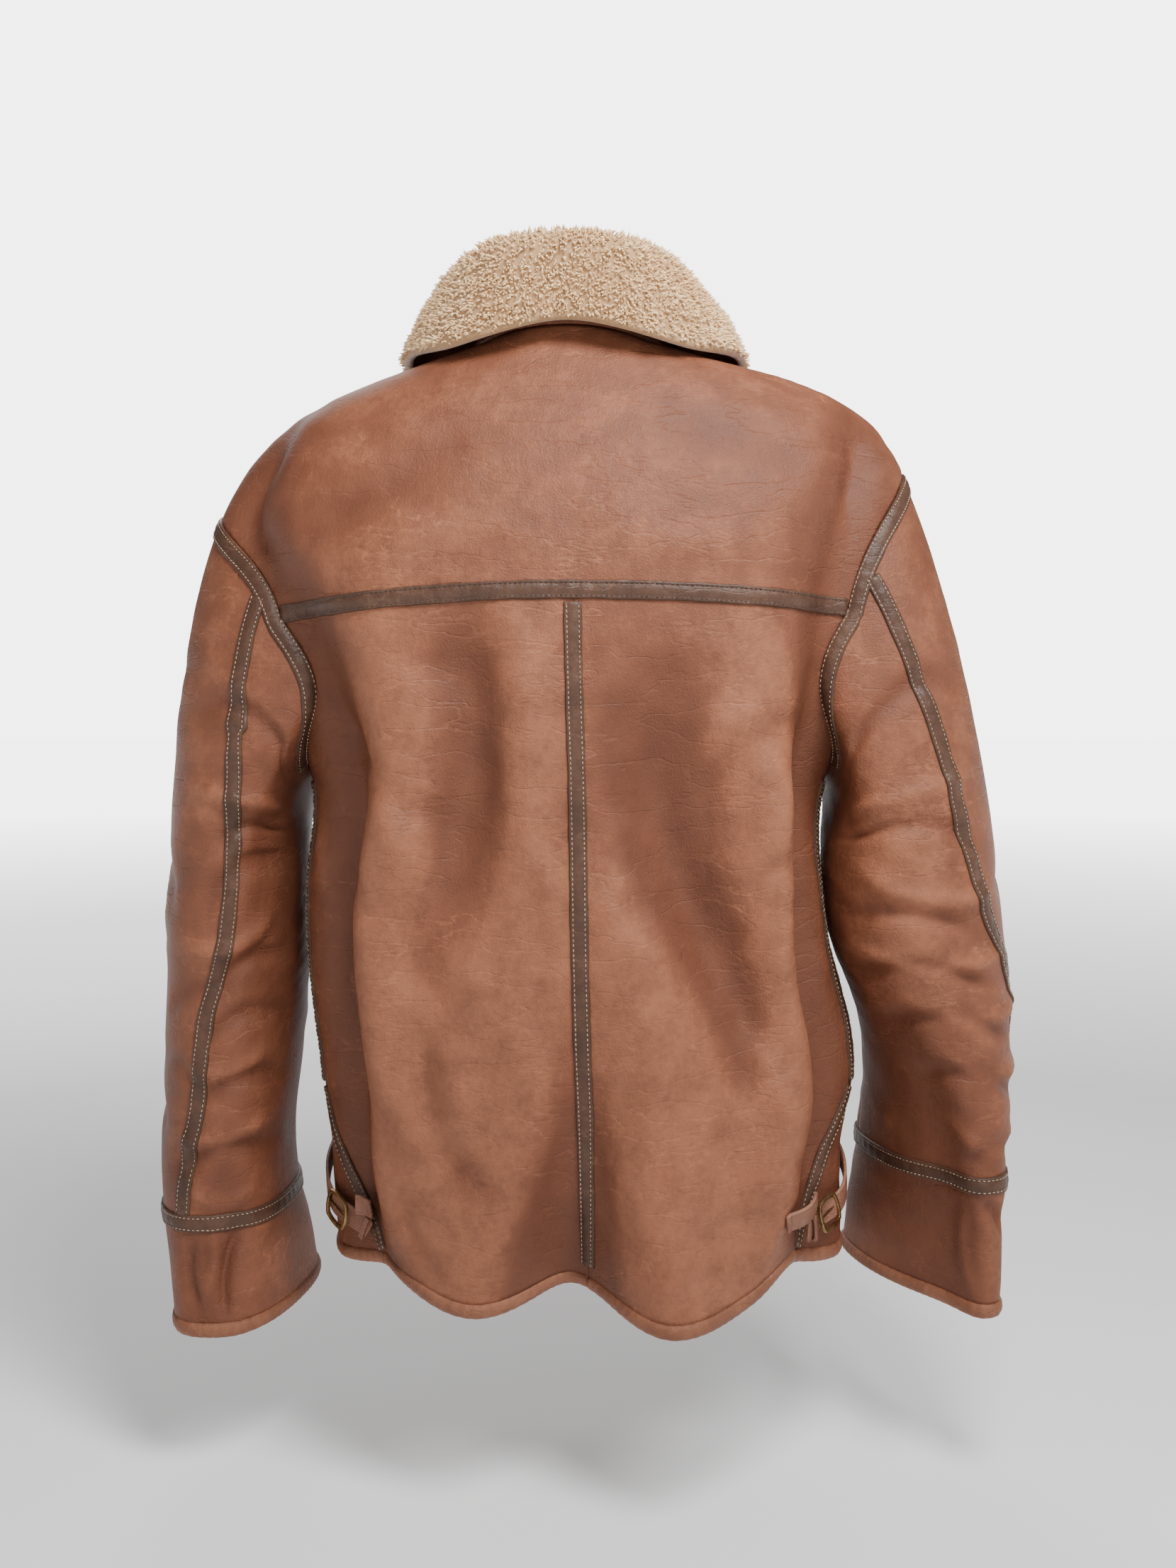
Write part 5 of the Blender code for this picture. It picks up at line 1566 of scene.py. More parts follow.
def outward(obj: bpy.types.Object) -> None:
    """Turn a mesh's normals outwards."""
    work = bmesh.new()
    work.from_mesh(obj.data)
    bmesh.ops.recalc_face_normals(work, faces=work.faces)
    work.to_mesh(obj.data)
    work.free()


# Section of a flat tape: place across (1 the edge) and height (1 the top)
TAPE_SECTION = [
    (-1.0, 0.0), (-0.99, 0.62), (-0.90, 0.95), (-0.72, 1.0), (-0.62, 0.86), (-0.5, 1.0), (0.0, 1.1),
    (0.5, 1.0), (0.62, 0.86), (0.72, 1.0), (0.90, 0.95), (0.99, 0.62), (1.0, 0.0),
]
TAPE_UNDER = [(0.9, -0.3), (-0.9, -0.3)]
TAPE_TOP = TAPE_LIFT + TAPE_THICK
TAPE_FOOT = -0.0010


def tape(
    name: str, line: Line, half: float, material: bpy.types.Material, seed: float, closed: bool = False
) -> bpy.types.Object:
    """Leather tape over a seam.

    Args:
        name: Name of the object.
        line: Path of its middle.
        half: Half its width.
        material: Its material.
        seed: Shift of its unevenness.
        closed: Whether the path joins itself.

    Returns:
        The object.
    """
    path = line.even(0.0032)
    along = path.along
    wave = np.sin(along * 210.0 + seed) * 0.5 + np.sin(along * 87.0 + 2.0 * seed) * 0.5
    pucker = 0.00035 * np.sin(along * 2.0 * math.pi / 0.0108 + 1.7 * np.sin(along * 31.0 + seed))
    section = np.array(TAPE_SECTION + TAPE_UNDER)
    across, high = section[:, :1], section[:, 1:]
    wide = half * across * (1.0 + 0.045 * wave)
    gather = pucker * np.maximum(high, 0.0) * (1.0 - 0.6 * abs(across))
    lift = TAPE_FOOT + (TAPE_TOP - TAPE_FOOT) * high + gather
    rings = np.swapaxes(path.points(wide, lift), 0, 1)
    return loft(name, rings[:-1] if closed else rings, closed, material)


@dataclass
class Stitches:
    """Stitches of one thread, gathered from many seams into one piece."""

    name: str
    points: list[Array] = field(default_factory=list)
    faces: list[tuple[int, ...]] = field(default_factory=list)
    count: int = 0

    def sew(self, line: Line, across: float, lift: float, seed: int = 0) -> None:
        """Add a row of stitches.

        Args:
            line: Path beside which the row runs.
            across: Distance from the path.
            lift: Height of the thread's middle over the skin.
            seed: Seed of the unevenness.
        """
        path = line.even(STITCH_PITCH / 2.0)
        middle = path.points(across, lift)
        above = path.points(across, lift + 0.001)
        rng = np.random.default_rng(seed)
        for i in range(1, len(middle) - 1, 2):
            along = middle[i + 1] - middle[i - 1]
            size = np.linalg.norm(along)
            if size < STITCH_PITCH * 0.4 or size > STITCH_PITCH * 2.0:
                continue
            along = along / size
            up = unit(above[i] - middle[i])
            side = np.cross(along, up)
            along = unit(along + side * rng.normal(0.0, 0.07))
            long = STITCH_LONG * rng.uniform(0.44, 0.54)
            ends = middle[i] - up * STITCH_HALF * 1.2
            ring = [side * STITCH_HALF, up * STITCH_HALF * 1.3, -side * STITCH_HALF, -up * STITCH_HALF]
            shape = [ends - along * long]
            shape += [middle[i] - along * long * 0.55 + out for out in ring]
            shape += [middle[i] + along * long * 0.55 + out for out in ring]
            shape += [ends + along * long]
            n = self.count
            self.faces += [(n, n + 1 + (k + 1) % 4, n + 1 + k) for k in range(4)]
            self.faces += [(n + 1 + k, n + 1 + (k + 1) % 4, n + 5 + (k + 1) % 4, n + 5 + k) for k in range(4)]
            self.faces += [(n + 9, n + 5 + k, n + 5 + (k + 1) % 4) for k in range(4)]
            self.points.append(np.array(shape))
            self.count += 10

    def build(self, material: bpy.types.Material, slot: str) -> bpy.types.Object:
        """Make the stitches' object.

        Args:
            material: Its material.
            slot: Not used.

        Returns:
            The object.
        """
        obj = new_object(self.name, np.concatenate(self.points), self.faces)
        outward(obj)
        obj.data.materials.append(material)
        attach(obj, "jacket")
        return obj


def body_ground() -> Ground:
    """The body's skin as a ground for strips."""
    return Ground(body_skin, body_folded, 1.0, (0.0, 1.0))


def sleeve_ground(side: Side) -> Ground:
    """A sleeve's skin as a ground for strips."""
    return Ground(
        lambda angle, run: sleeve_skin(side, angle, run),
        lambda angle, run: sleeve_base(side, angle, run),
        -side.value,
        (-1.0, float(SLEEVES[side.label].rows[-1, 0])),
    )


def closed_area(obj: bpy.types.Object) -> float:
    """Half the surface of a closed piece of cloth, in square metres."""
    return sum(polygon.area for polygon in obj.data.polygons) / 2.0


def declare(obj: bpy.types.Object, node: str | None, body: str = "jacket") -> bpy.types.Object:
    """Tie a piece to the frame.

    Args:
        obj: The piece.
        node: CAD node that it stands for, or None.
        body: Body that it rides on.

    Returns:
        The piece.
    """
    if node is not None:
        obj.name = f"{node}_sewn"
        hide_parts(node)
    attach(obj, body)
    return obj


# Box round each flat piece, width and length in metres, set from the pieces as built
CUTS = {
    "back_panel": (0.280, 0.520),
    "front_panel": (0.290, 0.740),
    "back_yoke": (0.620, 0.270),
    "gusset": (0.130, 0.140),
    "sleeve_top": (0.300, 0.640),
    "sleeve_under": (0.190, 0.560),
    "cuff": (0.370, 0.105),
    "collar": (0.620, 0.200),
}
LEAST_SHARE = 0.31


def cut_area(obj: bpy.types.Object, cut: str) -> float:
    """Area for a cut, taken from the sewn piece itself.

    Args:
        obj: The piece.
        cut: Name of its cut.

    Returns:
        The piece's area, held between a least share of its box and the whole box.
    """
    width, length = CUTS[cut]
    full = width * length
    area = closed_area(obj)
    LOG.info("%s measures %.4f of %.4f", obj.name, area, full)
    return full * min(max(area / full, LEAST_SHARE), 1.0)


def declare_cloth(obj: bpy.types.Object, cut: str) -> None:
    """Work out the area of a panel's cut and log the measure.

    Args:
        obj: The panel.
        cut: Name of its cut.
    """
    area = cut_area(obj, cut)


@dataclass
class Body:
    """Panels, yoke and gussets of the body, with their tapes and hem."""

    materials: dict[str, bpy.types.Material]
    light: Stitches
    dark: Stitches

    def build(self) -> None:
        """Make every piece."""
        for side in Side:
            self.panel(f"back_panel_{side.label}", "back_panel", [back_grid()], side)
            upper = upper_grid(FRONT_TOPS, FRONT_UPPER_TURNS, FRONT_EDGE, False)
            self.panel(f"front_panel_{side.label}", "front_panel", [front_grid(), upper], side)
            self.panel(f"gusset_{side.label}", "gusset", [gusset_grid()], side)
        self.yoke()
        self.tapes()
        self.hem()

    def panel(
        self, name: str, cut: str, grids: Sequence[tuple[Array, Array]], side: Side
    ) -> None:
        """Make one panel.

        Args:
            name: Name of the node.
            cut: Name of its cut.
            grids: Grids of angles and runs, for the right side.
            side: Side to make it on.
        """
        cloth = Cloth(name)
        for angle, run in grids:
            add_body_grid(cloth, angle, run, side)
        obj = cloth.build(WALL, self.materials["leather"], self.materials["lining"])
        declare(obj, name)
        declare_cloth(obj, cut)

    def yoke(self) -> None:
        """Make the back yoke in one piece."""
        cloth = Cloth("back_yoke")
        angle, run = upper_grid(BACK_TOPS, YOKE_TURNS, 0.0, True)
        for side in Side:
            add_body_grid(cloth, angle, run, side)
        obj = cloth.build(WALL, self.materials["leather"], self.materials["lining"])
        declare(obj, "back_yoke")
        declare_cloth(obj, "back_yoke")

    def strip(self, name: str, line: Line, half: float, thread: Stitches, seed: int) -> None:
        """Make one tape with a row of stitches along each edge.

        Args:
            name: Name of the node.
            line: Path of its middle.
            half: Half its width.
            thread: Stitches to sew with.
            seed: Seed of its unevenness.
        """
        declare(tape(name, line, half, self.materials["tape"], float(seed)), name)
        for sign in (-1.0, 1.0):
            thread.sew(line, sign * (half - STITCH_EDGE), TAPE_TOP - 0.00005, seed)

    def tapes(self) -> None:
        """Make the tapes over the body's seams."""
        ground = body_ground()
        angle = np.linspace(-52.4, 52.4, 160)
        self.strip("yoke_tape", Line(ground, angle, np.full(160, ARMHOLE_RUN)), 0.0070, self.dark, 1)
        run = np.linspace(0.018, 0.688, 120)
        self.strip("centre_back_tape", Line(ground, 0.0 * run, run), TAPE_HALF, self.light, 2)
        for side in Side:
            run = np.linspace(GUSSET_RUN + 0.006, SIDE_RUN * 0.965, 80)
            angle = back_angle(np.array(SIDE_EDGE), np.array(SIDE_ANGLE), run, np.array(SIDE_RUN))
            path = Line(ground, leaned(angle, run) * side.value, run)
            self.strip(f"side_tape_{side.label}", path, TAPE_HALF, self.light, 3)
            run = np.linspace(0.004, GUSSET_RUN - 0.002, 40)
            angle = back_angle(np.array(SIDE_EDGE - 0.9), np.array(SIDE_ANGLE), run, np.array(SIDE_RUN))
            path = Line(ground, angle * side.value, run)
            self.strip(f"gusset_tape_{side.label}", path, TAPE_HALF * 0.85, self.light, 4)

    def hem(self) -> None:
        """Make the rolled edging under the hem, a piece under each panel."""
        spans = {
            "back": (0.0, GUSSET_BACK),
            "gusset": (GUSSET_BACK, GUSSET_FRONT),
            "front": (GUSSET_FRONT, FRONT_EDGE),
        }
        ground = body_ground()
        for side in Side:
            for name, (start, end) in spans.items():
                angle = np.linspace(start + 0.08, end - 0.08, 60) * side.value
                line = Line(ground, angle, np.zeros(60))
                node = f"hem_edging_{name}_{side.label}"
                obj = roll(node, line, False, self.materials["edging"], side.value + start)
                declare(obj, node)


EDGING_HIGH = 0.0105
EDGING_OUT = 0.0020
EDGING_THICK = 0.0078
PUCKER_PITCH = 0.0074


def roll(name: str, line: Line, closed: bool, material: bpy.types.Material, seed: float) -> bpy.types.Object:
    """Rolled, puckered edging below an edge.

    Args:
        name: Name of the object.
        line: Path along the edge.
        closed: Whether the path joins itself.
        material: Its material.
        seed: Shift of its unevenness.

    Returns:
        The object.
    """
    path = line.even(0.0016)
    points = path.points(0.0, 0.0)
    normals = unit(path.points(0.0, 0.01) - points)
    down = unit(np.cross(np.gradient(points, axis=0), normals))
    down = down * np.where(down[:, 2:3] > 0.0, -1.0, 1.0)
    along = path.along
    phase = along / PUCKER_PITCH + 0.45 * np.sin(along * 37.0 + seed)
    phase = phase + 0.3 * np.sin(along * 91.0 + 2.0 * seed)
    pucker = 1.0 - 0.045 * np.abs(np.sin(math.pi * phase)) ** 4 + 0.03 * np.sin(along * 23.0 + seed)
    high, out, thick = EDGING_HIGH, EDGING_OUT, EDGING_THICK
    section = [
        (-0.0004, -0.0012), (out * 0.75, 0.06 * high), (out, 0.20 * high), (out * 1.12, 0.40 * high),
        (out * 0.95, 0.62 * high), (out * 0.35, 0.86 * high), (-thick * 0.22, 0.98 * high),
        (-thick * 0.5, high), (-thick * 0.78, 0.92 * high), (-thick * 0.97, 0.70 * high),
        (-thick * 1.0, 0.40 * high), (-thick * 0.92, 0.0004),
    ]
    rows = []
    for across, low in section:
        middle = -thick * 0.42
        deep = middle + (across - middle) * pucker
        rows.append(points + normals * deep[:, None] + down * (low * (0.55 + 0.45 * pucker))[:, None])
    rings = np.stack(rows, axis=1)
    obj = loft(name, rings[:-1] if closed else rings, closed, material)
    # Pucker mark for the leather's colour: painted shade in the pinched dips and a painted highlight on the
    # crests
    marks = np.repeat((pucker - 0.95) * 6.0, len(section))
    paint(obj, "crease", marks[: len(obj.data.vertices)])
    return obj


@dataclass
class Sleeve:
    """One sleeve: two pieces, cuff, edging and tapes."""

    side: Side
    materials: dict[str, bpy.types.Material]
    light: Stitches
    dark: Stitches

    def grid(self, cloth: Cloth, angle: Array, run: Array) -> None:
        """Add a grid of the sleeve to a sheet.

        Args:
            cloth: The sheet.
            angle: Angles round the sleeve.
            run: Runs down the sleeve.
        """
        skin = sleeve_skin(self.side, angle, run)
        normals = grid_normals(skin, -self.side.value)
        marks = crease_mark(skin, sleeve_base(self.side, angle, run), normals)
        cloth.add(skin, normals, marks, flip=self.side is Side.RIGHT)

    def build(self) -> None:
        """Make every piece."""
        label = self.side.label
        outer, inner = self.materials["leather"], self.materials["lining"]
        run = np.concatenate([np.linspace(-1.0, 0.0, 52), np.linspace(0.0, 1.0, 74)[1:]])[:, None]
        seam = SLEEVE_SEAMS[label].read("angle", run)
        share = np.linspace(0.0, 1.0, 66)
        spans = {"top": (seam, INNER_SEAM + 0.0 * seam), "under": (INNER_SEAM + 0.0 * seam, seam + 360.0)}
        for piece, (first, last) in spans.items():
            cloth = Cloth(f"sleeve_{piece}_{label}")
            angle = first + (last - first) * share
            self.grid(cloth, angle, run + 0.0 * angle)
            obj = cloth.build(WALL, outer, inner)
            declare(obj, cloth.name)
            declare_cloth(obj, f"sleeve_{piece}")
        self.cuff(outer, inner)
        self.tapes()

    def cuff(self, outer: bpy.types.Material, inner: bpy.types.Material) -> None:
        """Make the cuff and its edging.

        Args:
            outer: Leather.
            inner: Wool.
        """
        label = self.side.label
        last = float(SLEEVES[label].rows[-1, 0])
        cloth = Cloth(f"cuff_{label}")
        angle, run = np.meshgrid(np.linspace(-180.0, 180.0, 121), np.linspace(1.0, last, 26))
        self.grid(cloth, angle, run)
        obj = cloth.build(WALL, outer, inner)
        declare(obj, cloth.name)
        declare_cloth(obj, "cuff")
        angle = np.linspace(-180.0, 180.0, 241)
        line = Line(sleeve_ground(self.side), angle, np.full(241, last))
        node = f"cuff_edging_{label}"
        declare(roll(node, line, True, self.materials["edging"], 3.0 * self.side.value), node)

    def strip(self, name: str, line: Line, half: float, seed: int, closed: bool = False) -> None:
        """Make one tape with its stitches.

        Args:
            name: Name of the node.
            line: Path of its middle.
            half: Half its width.
            seed: Seed of its unevenness.
            closed: Whether the path joins itself.
        """
        declare(tape(name, line, half, self.materials["tape"], float(seed), closed), name)
        for sign in (-1.0, 1.0):
            self.light.sew(line, sign * (half - STITCH_EDGE), TAPE_TOP - 0.00005, seed)

    def tapes(self) -> None:
        """Make the sleeve's tapes."""
        side, label = self.side, self.side.label
        ground = sleeve_ground(side)
        run = np.linspace(-0.93, 0.975, 200)
        seam = SLEEVE_SEAMS[label].read("angle", run)
        self.strip(f"sleeve_tape_{label}", Line(ground, seam, run), TAPE_HALF, 5)
        angle = np.linspace(-58.0, 214.0, 240)
        first = np.full(240, -1.0)
        slope = np.linalg.norm(ground.base(angle, first + 0.06) - ground.base(angle, first), axis=-1) / 0.06
        run = -1.0 + np.clip(0.0072 / np.maximum(slope, 1e-4), 0.0, 0.3)
        self.strip(f"armhole_tape_{label}", Line(ground, angle, run), TAPE_HALF, 6)
        angle = np.linspace(-180.0, 180.0, 241)
        self.strip(f"cuff_tape_{label}", Line(ground, angle, np.full(241, 1.0)), TAPE_HALF, 7, True)


WOOL_THICK = 0.009
COLLAR_END = 175.0


def collar_middle(angle: float, shares: Array) -> Array:
    """Middle of the collar's thickness.

    Args:
        angle: Angle round the neck.
        shares: 0 at the neckline, 0.5 at the fold, 1 at the free edge.

    Returns:
        A point for each share.
    """
    base = body_folded(np.array(angle), np.array(1.0))
    middle = np.array([float(BODY.read("x_mid", 1.0)), -0.004, 0.0])
    out = (base - middle) * np.array([1.0, 1.0, 0.0])
    out = unit(out)
    fold_out, fold_up, edge_out, edge_up = (
        float(COLLAR.read(name, angle)) for name in ("fold_out", "fold_up", "edge_out", "edge_up")
    )
    profile = Table(
        "share out up",
        [
            (0.00, -0.0045, 0.0007),
            (0.20, -0.0060, 0.45 * fold_up),
            (0.38, fold_out - 0.0100, fold_up - 0.0120),
            (0.50, fold_out, fold_up - 0.0045),
            (0.62, fold_out + 0.0110, fold_up - 0.0130),
            (0.80, 0.45 * fold_out + 0.55 * edge_out + 0.004, 0.50 * fold_up + 0.50 * edge_up),
            (1.00, edge_out, edge_up),
        ],
    )
    up = np.array([0.0, 0.0, 1.0])
    return base + profile.read("out", shares)[:, None] * out + profile.read("up", shares)[:, None] * up


@dataclass
class Collar:
    """Wool collar: a thick band that stands, folds and falls, with its pile."""

    materials: dict[str, bpy.types.Material]
    count: int = 17500

    def build(self) -> None:
        """Make the band and the pile."""
        angles = np.linspace(-COLLAR_END, COLLAR_END, 181)
        shares = np.linspace(0.0, 1.0, 50)
        line = np.array([collar_middle(angle, shares) for angle in angles])
        ahead = np.array([collar_middle(angle + 1.0, shares) for angle in angles])
        along = unit(ahead - line)
        down = unit(np.gradient(line, axis=1))
        outward_way = unit(np.cross(down, along))
        lump = 0.0011 * ripple(line * 1.6, 5.0)
        half = WOOL_THICK / 2
        wool = line + outward_way * (half - 0.0012 + lump)[..., None]
        leather = line - outward_way * half
        tip = line[:, -1:] + down[:, -1:] * half * 0.55
        foot = line[:, :1] - down[:, :1] * half * 0.2
        rings = np.concatenate([foot, wool, tip, leather[:, ::-1]], axis=1)
        # The band's wool face takes the darker wool, painted shade under the pile
        obj = loft("collar", list(rings), False, self.materials["wool_base_in_shade"])
        obj.data.materials.append(self.materials["leather"])
        size = rings.shape[1]
        index = np.zeros(len(obj.data.polygons), dtype=np.int32)
        for number in range((len(angles) - 1) * size):
            if number % size > len(shares) + 1:
                index[number] = 1
        obj.data.polygons.foreach_set("material_index", index)
        paint(obj, "crease", np.zeros(len(obj.data.vertices)))
        declare(obj, "collar")
        area = cut_area(obj, "collar")
        pile = self.pile(wool, outward_way, down, along)

    def pile(self, wool: Array, out: Array, down: Array, along: Array) -> bpy.types.Object:
        """Make the pile as short curved tufts.

        Args:
            wool: Points of the wool's ground, columns by shares.
            out: Outward directions there.
            down: Directions towards the free edge.
            along: Directions round the neck.

        Returns:
            The pile.
        """
        rng = np.random.default_rng(41)
        wide = np.linalg.norm(np.diff(wool, axis=0), axis=-1)[:, :-1]
        high = np.linalg.norm(np.diff(wool, axis=1), axis=-1)[:-1]
        area = (wide * high).reshape(-1)
        cell = rng.choice(len(area), size=self.count, p=area / area.sum())
        i, j = np.divmod(cell, wool.shape[1] - 1)
        u, v = rng.random(self.count), rng.random(self.count)

        def at(grid: Array) -> Array:
            """Values of a grid at the tufts."""
            low = grid[i, j] * (1 - u)[:, None] + grid[i + 1, j] * u[:, None]
            top = grid[i, j + 1] * (1 - u)[:, None] + grid[i + 1, j + 1] * u[:, None]
            return low * (1 - v)[:, None] + top * v[:, None]

        root, normal, fall, side = at(wool), unit(at(out)), unit(at(down)), unit(at(along))
        swirl = ripple(root * 2.2, 1.0)
        swirl_side = ripple(root * 2.6, 7.0)
        lean = normal + fall * (0.40 + 0.45 * swirl)[:, None] + side * (0.75 * swirl_side)[:, None]
        lean = unit(lean + rng.normal(0.0, 0.36, (self.count, 3)))
        long = rng.uniform(0.0034, 0.0058, self.count) * (1.0 + 0.22 * swirl)
        wide = rng.uniform(0.00075, 0.00135, self.count)
        first = unit(np.cross(lean, side + 0.3 * rng.normal(size=(self.count, 3))))
        second = np.cross(lean, first)
        curl = unit(fall + 0.9 * rng.normal(size=(self.count, 3)))
        points = np.zeros((self.count, 7, 3))
        turn = rng.uniform(0.0, 2.0 * math.pi, self.count)
        for k in range(3):
            way = turn + 2.0 * math.pi * k / 3.0
            spoke = first * np.cos(way)[:, None] + second * np.sin(way)[:, None]
            points[:, k] = root - normal * 0.0008 + spoke * wide[:, None]
            middle = root + lean * (long * 0.55)[:, None] + curl * (long * 0.12)[:, None]
            points[:, 3 + k] = middle + spoke * (wide * 0.80)[:, None]
        points[:, 6] = root + lean * (long * 0.92)[:, None] + curl * (long * 0.42)[:, None]
        faces = []
        for n in range(0, self.count * 7, 7):
            for k in range(3):
                m = (k + 1) % 3
                faces.append((n + k, n + m, n + 3 + m, n + 3 + k))
                faces.append((n + 3 + k, n + 3 + m, n + 6))
        obj = new_object("collar_pile", points.reshape(-1, 3), faces)
        # Height up each tuft, from which the wool paints shade towards the roots
        paint(obj, "tip", np.tile([0.0, 0.0, 0.0, 0.6, 0.6, 0.6, 1.0], self.count))
        obj.data.materials.append(self.materials["wool"])
        return declare(obj, None)


STRAP_LIFT = 0.0006
# Solids at a strap that are only rounded: node, finish and rounds of smoothing
BUCKLE_PARTS = (("buckle", "brass", 2), ("buckle_prong", "brass", 1), ("strap_keeper", "strap", 1))


@dataclass
class Strap:
    """One side's strap, tab and keeper."""

    side: Side
    materials: dict[str, bpy.types.Material]

    def build(self) -> None:
        """Make the pieces and dress the buckle."""
        label = self.side.label
        self.ribbon(f"strap_{label}", STRAPS[label], STRAP_WIDTH)
        self.ribbon(f"strap_tab_{label}", TABS[label], STRAP_WIDTH * 0.9)
        for part, kind, rounds in BUCKLE_PARTS:
            smooth_node(f"{part}_{label}", self.materials[kind], rounds)

    def ribbon(self, node: str, rows: Sequence[Sequence[float]], width: float) -> None:
        """Make a flat band on the body with rounded edges and a groove along each.

        Args:
            node: Name of the node.
            rows: Places along it.
            width: Its width.
        """
        table = Table(STRAP_COLUMNS, rows)
        at = np.linspace(0.0, float(table.rows[-1, 0]), 70)
        angle = table.read("angle", at) * self.side.value
        run = table.read("run", at)
        ground = body_folded(angle, run)
        out = slopes_normal(body_folded, angle, run, 1.0, (0.0, 1.0))
        skin = ((body_skin(angle, run) - ground) * out).sum(-1)
        lift = np.maximum(table.read("lift", at), skin + STRAP_LIFT)
        points = ground + out * lift[:, None]
        along = unit(np.gradient(points, axis=0))
        across = unit(np.cross(out, along))
        normals = np.cross(along, across)
        half, thick = width / 2.0, STRAP_THICK
        section = [
            (-0.96, 0.05), (-1.0, 0.35), (-1.0, 0.70), (-0.93, 0.96), (-0.80, 1.0), (-0.74, 0.93),
            (-0.66, 1.0), (0.0, 1.06), (0.66, 1.0), (0.74, 0.93), (0.80, 1.0), (0.93, 0.96),
            (1.0, 0.70), (1.0, 0.35), (0.96, 0.05), (0.0, 0.0),
        ]
        length = np.concatenate([[0.0], np.cumsum(np.linalg.norm(np.diff(points, axis=0), axis=-1))])
        wave = 1.0 + 0.02 * np.sin(length * 140.0) + 0.015 * np.sin(length * 61.0 + 1.0)
        rows_of = [
            points + across * (half * a * wave)[:, None] + normals * (thick * b) for a, b in section
        ]
        obj = loft(node, np.stack(rows_of, axis=1), False, self.materials["strap"])
        # Marks the strap's sides as raised, so the leather paints a highlight on its rounded edges
        edge = np.tile([0.9 if abs(a) > 0.9 else 0.0 for a, b in section], len(points))
        paint(obj, "crease", edge)
        declare(obj, node)


def smooth_node(node: str, material: bpy.types.Material, rounds: int) -> None:
    """Round a CAD node with modifiers and give it a finish.

    Args:
        node: Name of the node.
        material: Its finish.
        rounds: Rounds of subdivision.
    """
    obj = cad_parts[node]
    obj.data.materials.clear()
    obj.data.materials.append(material)
    weld = obj.modifiers.new("weld", "WELD")
    weld.merge_threshold = 0.00002
    bevel = obj.modifiers.new("bevel", "BEVEL")
    bevel.width = 0.00035
    bevel.segments = 2
    bevel.limit_method = "ANGLE"
    smooth = obj.modifiers.new("smooth", "SUBSURF")
    smooth.levels = rounds
    smooth.render_levels = rounds
    obj.data.polygons.foreach_set("use_smooth", [True] * len(obj.data.polygons))


TOOTH_PITCH = 0.0025
TOOTH_WIDE = 0.0024
TOOTH_HIGH = 0.0012
TOOTH_OUT = 0.0009
SLIDER_RUN = 0.832


@dataclass
class Zip:
    """Teeth, tapes, slider and pull of the front zip."""

    materials: dict[str, bpy.types.Material]

    def build(self) -> None:
        """Make the teeth and dress the CAD's own pieces."""
        for side in Side:
            smooth_plain(f"zip_tape_{side.label}", self.materials["zip"])
        for node in ("zip_slider", "zip_pull"):
            smooth_plain(node, self.materials["brass"])
        run = np.linspace(0.006, SLIDER_RUN - 0.010, 600)
        middle = body_folded(np.full(600, 180.0), run)
        out = slopes_normal(body_folded, np.full(600, 180.0), run, 1.0, (0.0, 1.0))
        along = np.concatenate([[0.0], np.cumsum(np.linalg.norm(np.diff(middle, axis=0), axis=-1))])
        bpy.ops.object.select_all(action="DESELECT")
        bpy.ops.mesh.primitive_cube_add(size=1.0)
        tooth = bpy.context.object
        bpy.ops.object.mode_set(mode="EDIT")
        bpy.ops.mesh.bevel(offset=0.18, segments=1)
        bpy.ops.object.mode_set(mode="OBJECT")
        shape = np.array([tuple(v.co) for v in tooth.data.vertices])
        corners = [tuple(p.vertices) for p in tooth.data.polygons]
        bpy.data.objects.remove(tooth)
        for side in Side:
            points, faces = [], []
            start = TOOTH_PITCH * (0.5 if side is Side.LEFT else 1.0)
            for number, place in enumerate(np.arange(start, along[-1], TOOTH_PITCH)):
                centre = np.array([np.interp(place, along, middle[:, k]) for k in range(3)])
                normal = unit(np.array([np.interp(place, along, out[:, k]) for k in range(3)]))
                ahead = np.array([np.interp(place + 0.001, along, middle[:, k]) for k in range(3)])
                up = unit(ahead - centre)
                across = np.cross(up, normal)
                aside = np.array([1.0, 0.0, 0.0]) * side.value * TOOTH_WIDE * 0.36
                centre = centre + aside + normal * TOOTH_OUT
                block = shape * np.array([TOOTH_WIDE, TOOTH_HIGH, 0.0016])
                points.append(centre + block[:, :1] * across + block[:, 1:2] * up + block[:, 2:] * normal)
                faces += [tuple(c + number * len(shape) for c in corner) for corner in corners]
            obj = new_object(f"zip_teeth_{side.label}", np.concatenate(points), faces)
            outward(obj)
            obj.data.materials.append(self.materials["brass"])
            declare(obj, None)


def smooth_plain(node: str, material: bpy.types.Material) -> None:
    """Bevel a CAD node's edges and give it a finish.

    Args:
        node: Name of the node.
        material: Its finish.
    """
    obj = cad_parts[node]
    obj.data.materials.clear()
    obj.data.materials.append(material)
    weld = obj.modifiers.new("weld", "WELD")
    weld.merge_threshold = 0.00002
    bevel = obj.modifiers.new("bevel", "BEVEL")
    bevel.width = 0.0003
    bevel.segments = 2
    bevel.limit_method = "ANGLE"


FLOOR_UNDER = -0.90
FLOOR_NEAR = 1.6
FLOOR_FAR = 7.0
PALE = (0.86, 0.86, 0.86)
WHITE = (1.0, 1.0, 1.0)
FLOOR_DIM = (0.04, 0.04, 0.04)
FLOOR_GLOW = 4.6
ROOM_GLOW = 0.20
ROOM_SEEN = 5.0
LAMP_TARGET = (0.0, 0.0, -0.25)
CAMERA_PLACE = (0.0, -1.215, -0.296)
CAMERA_LENS = 34.0
CAMERA_SENSOR = 36.0
CAMERA_SHIFT = -0.0547


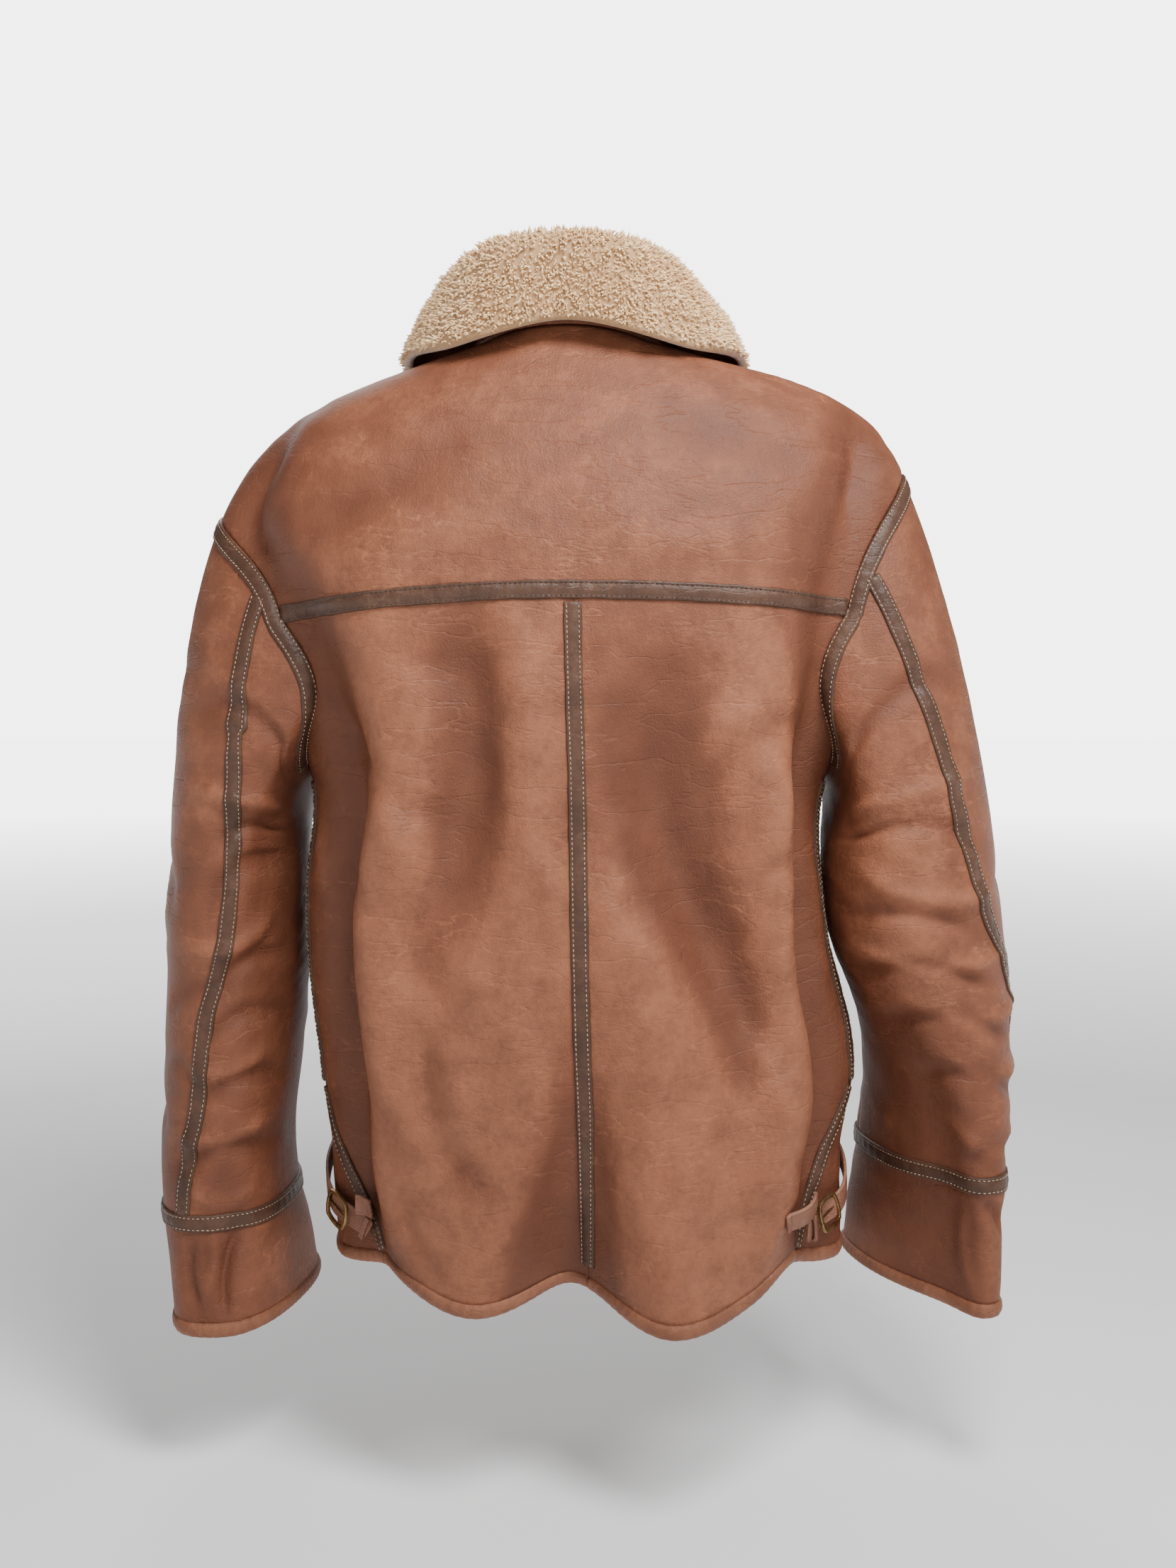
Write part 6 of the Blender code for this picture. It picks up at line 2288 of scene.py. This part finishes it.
@dataclass(frozen=True)
class Lamp:
    """A soft area light."""

    name: str
    place: tuple[float, float, float]
    size: float
    power: float

    def build(self, target: tuple[float, float, float]) -> None:
        """Make the light.

        Args:
            target: Point that it faces.
        """
        bpy.ops.object.light_add(type="AREA", location=self.place)
        lamp = bpy.context.object
        lamp.name = self.name
        lamp.data.shape = "DISK"
        lamp.data.size = self.size
        lamp.data.energy = self.power
        way = Vector(target) - Vector(self.place)
        lamp.rotation_euler = way.to_track_quat("-Z", "Y").to_euler()


LAMPS = [
    Lamp("key_light", (1.15, -1.35, 1.30), 0.8, 36.0),
    Lamp("fill_light", (-0.60, -2.20, 0.10), 1.6, 4.0),
    Lamp("yoke_light", (0.30, -0.80, 0.75), 0.5, 23.0),
    Lamp("front_light", (-0.60, 2.20, 0.90), 1.8, 34.0),
]


def build_stage() -> None:
    """Make the floor, the world, the lights and the camera."""
    bpy.ops.object.select_all(action="DESELECT")
    bpy.ops.mesh.primitive_plane_add(size=40.0, location=(0.0, 0.0, 0.0))
    floor = bpy.context.object
    floor.name = "floor"
    bpy.ops.object.mode_set(mode="EDIT")
    bpy.ops.transform.translate(value=(0.0, 0.0, FLOOR_UNDER))
    bpy.ops.object.mode_set(mode="OBJECT")
    shader = Shader("pale_floor")
    shader.feed(shader.principled, "Base Color", PALE)
    shader.principled.inputs["Roughness"].default_value = 0.9
    away = shader.node("ShaderNodeVectorMath", {"operation": "LENGTH"}, {"Vector": shader.place()})
    far = shader.ramp(Socket(shader.tree, away.outputs["Value"]), FLOOR_NEAR, FLOOR_FAR)
    shader.feed(shader.principled, "Emission Color", shader.blend(far, FLOOR_DIM, WHITE))
    shader.principled.inputs["Emission Strength"].default_value = FLOOR_GLOW
    floor.data.materials.append(shader.material)
    world = bpy.data.worlds.new("pale_room")
    bpy.context.scene.world = world
    world.use_nodes = True
    nodes, links = world.node_tree.nodes, world.node_tree.links
    room = nodes["Background"]
    room.inputs["Color"].default_value = (*WHITE, 1.0)
    room.inputs["Strength"].default_value = ROOM_GLOW
    seen = nodes.new("ShaderNodeBackground")
    seen.inputs["Color"].default_value = (*WHITE, 1.0)
    seen.inputs["Strength"].default_value = ROOM_SEEN
    path = nodes.new("ShaderNodeLightPath")
    mix = nodes.new("ShaderNodeMixShader")
    links.new(path.outputs["Is Camera Ray"], mix.inputs[0])
    links.new(room.outputs[0], mix.inputs[1])
    links.new(seen.outputs[0], mix.inputs[2])
    links.new(mix.outputs[0], nodes["World Output"].inputs["Surface"])
    for lamp in LAMPS:
        lamp.build(LAMP_TARGET)
    bpy.ops.object.camera_add(location=CAMERA_PLACE, rotation=(math.radians(90.0), 0.0, 0.0))
    camera = bpy.context.object
    camera.name = "camera"
    camera.data.lens = CAMERA_LENS
    camera.data.sensor_width = CAMERA_SENSOR
    camera.data.shift_y = CAMERA_SHIFT
    camera.data.clip_start = 0.01
    bpy.context.scene.camera = camera


def main() -> None:
    """Dress the frame, piece by piece."""
    logging.basicConfig(level=logging.INFO, format="%(message)s")
    materials = {name: finish.build() for name, finish in FINISHES.items()}
    light = Stitches("light_stitches")
    dark = Stitches("dark_stitches")
    Body(materials, light, dark).build()
    LOG.info("body done")
    for side in Side:
        Sleeve(side, materials, light, dark).build()
        Strap(side, materials).build()
    LOG.info("sleeves and straps done")
    Collar(materials).build()
    Zip(materials).build()
    light.build(materials["light_thread"], "tape")
    dark.build(materials["dark_thread"], "tape")
    build_stage()


if __name__ == "__main__":
    main()
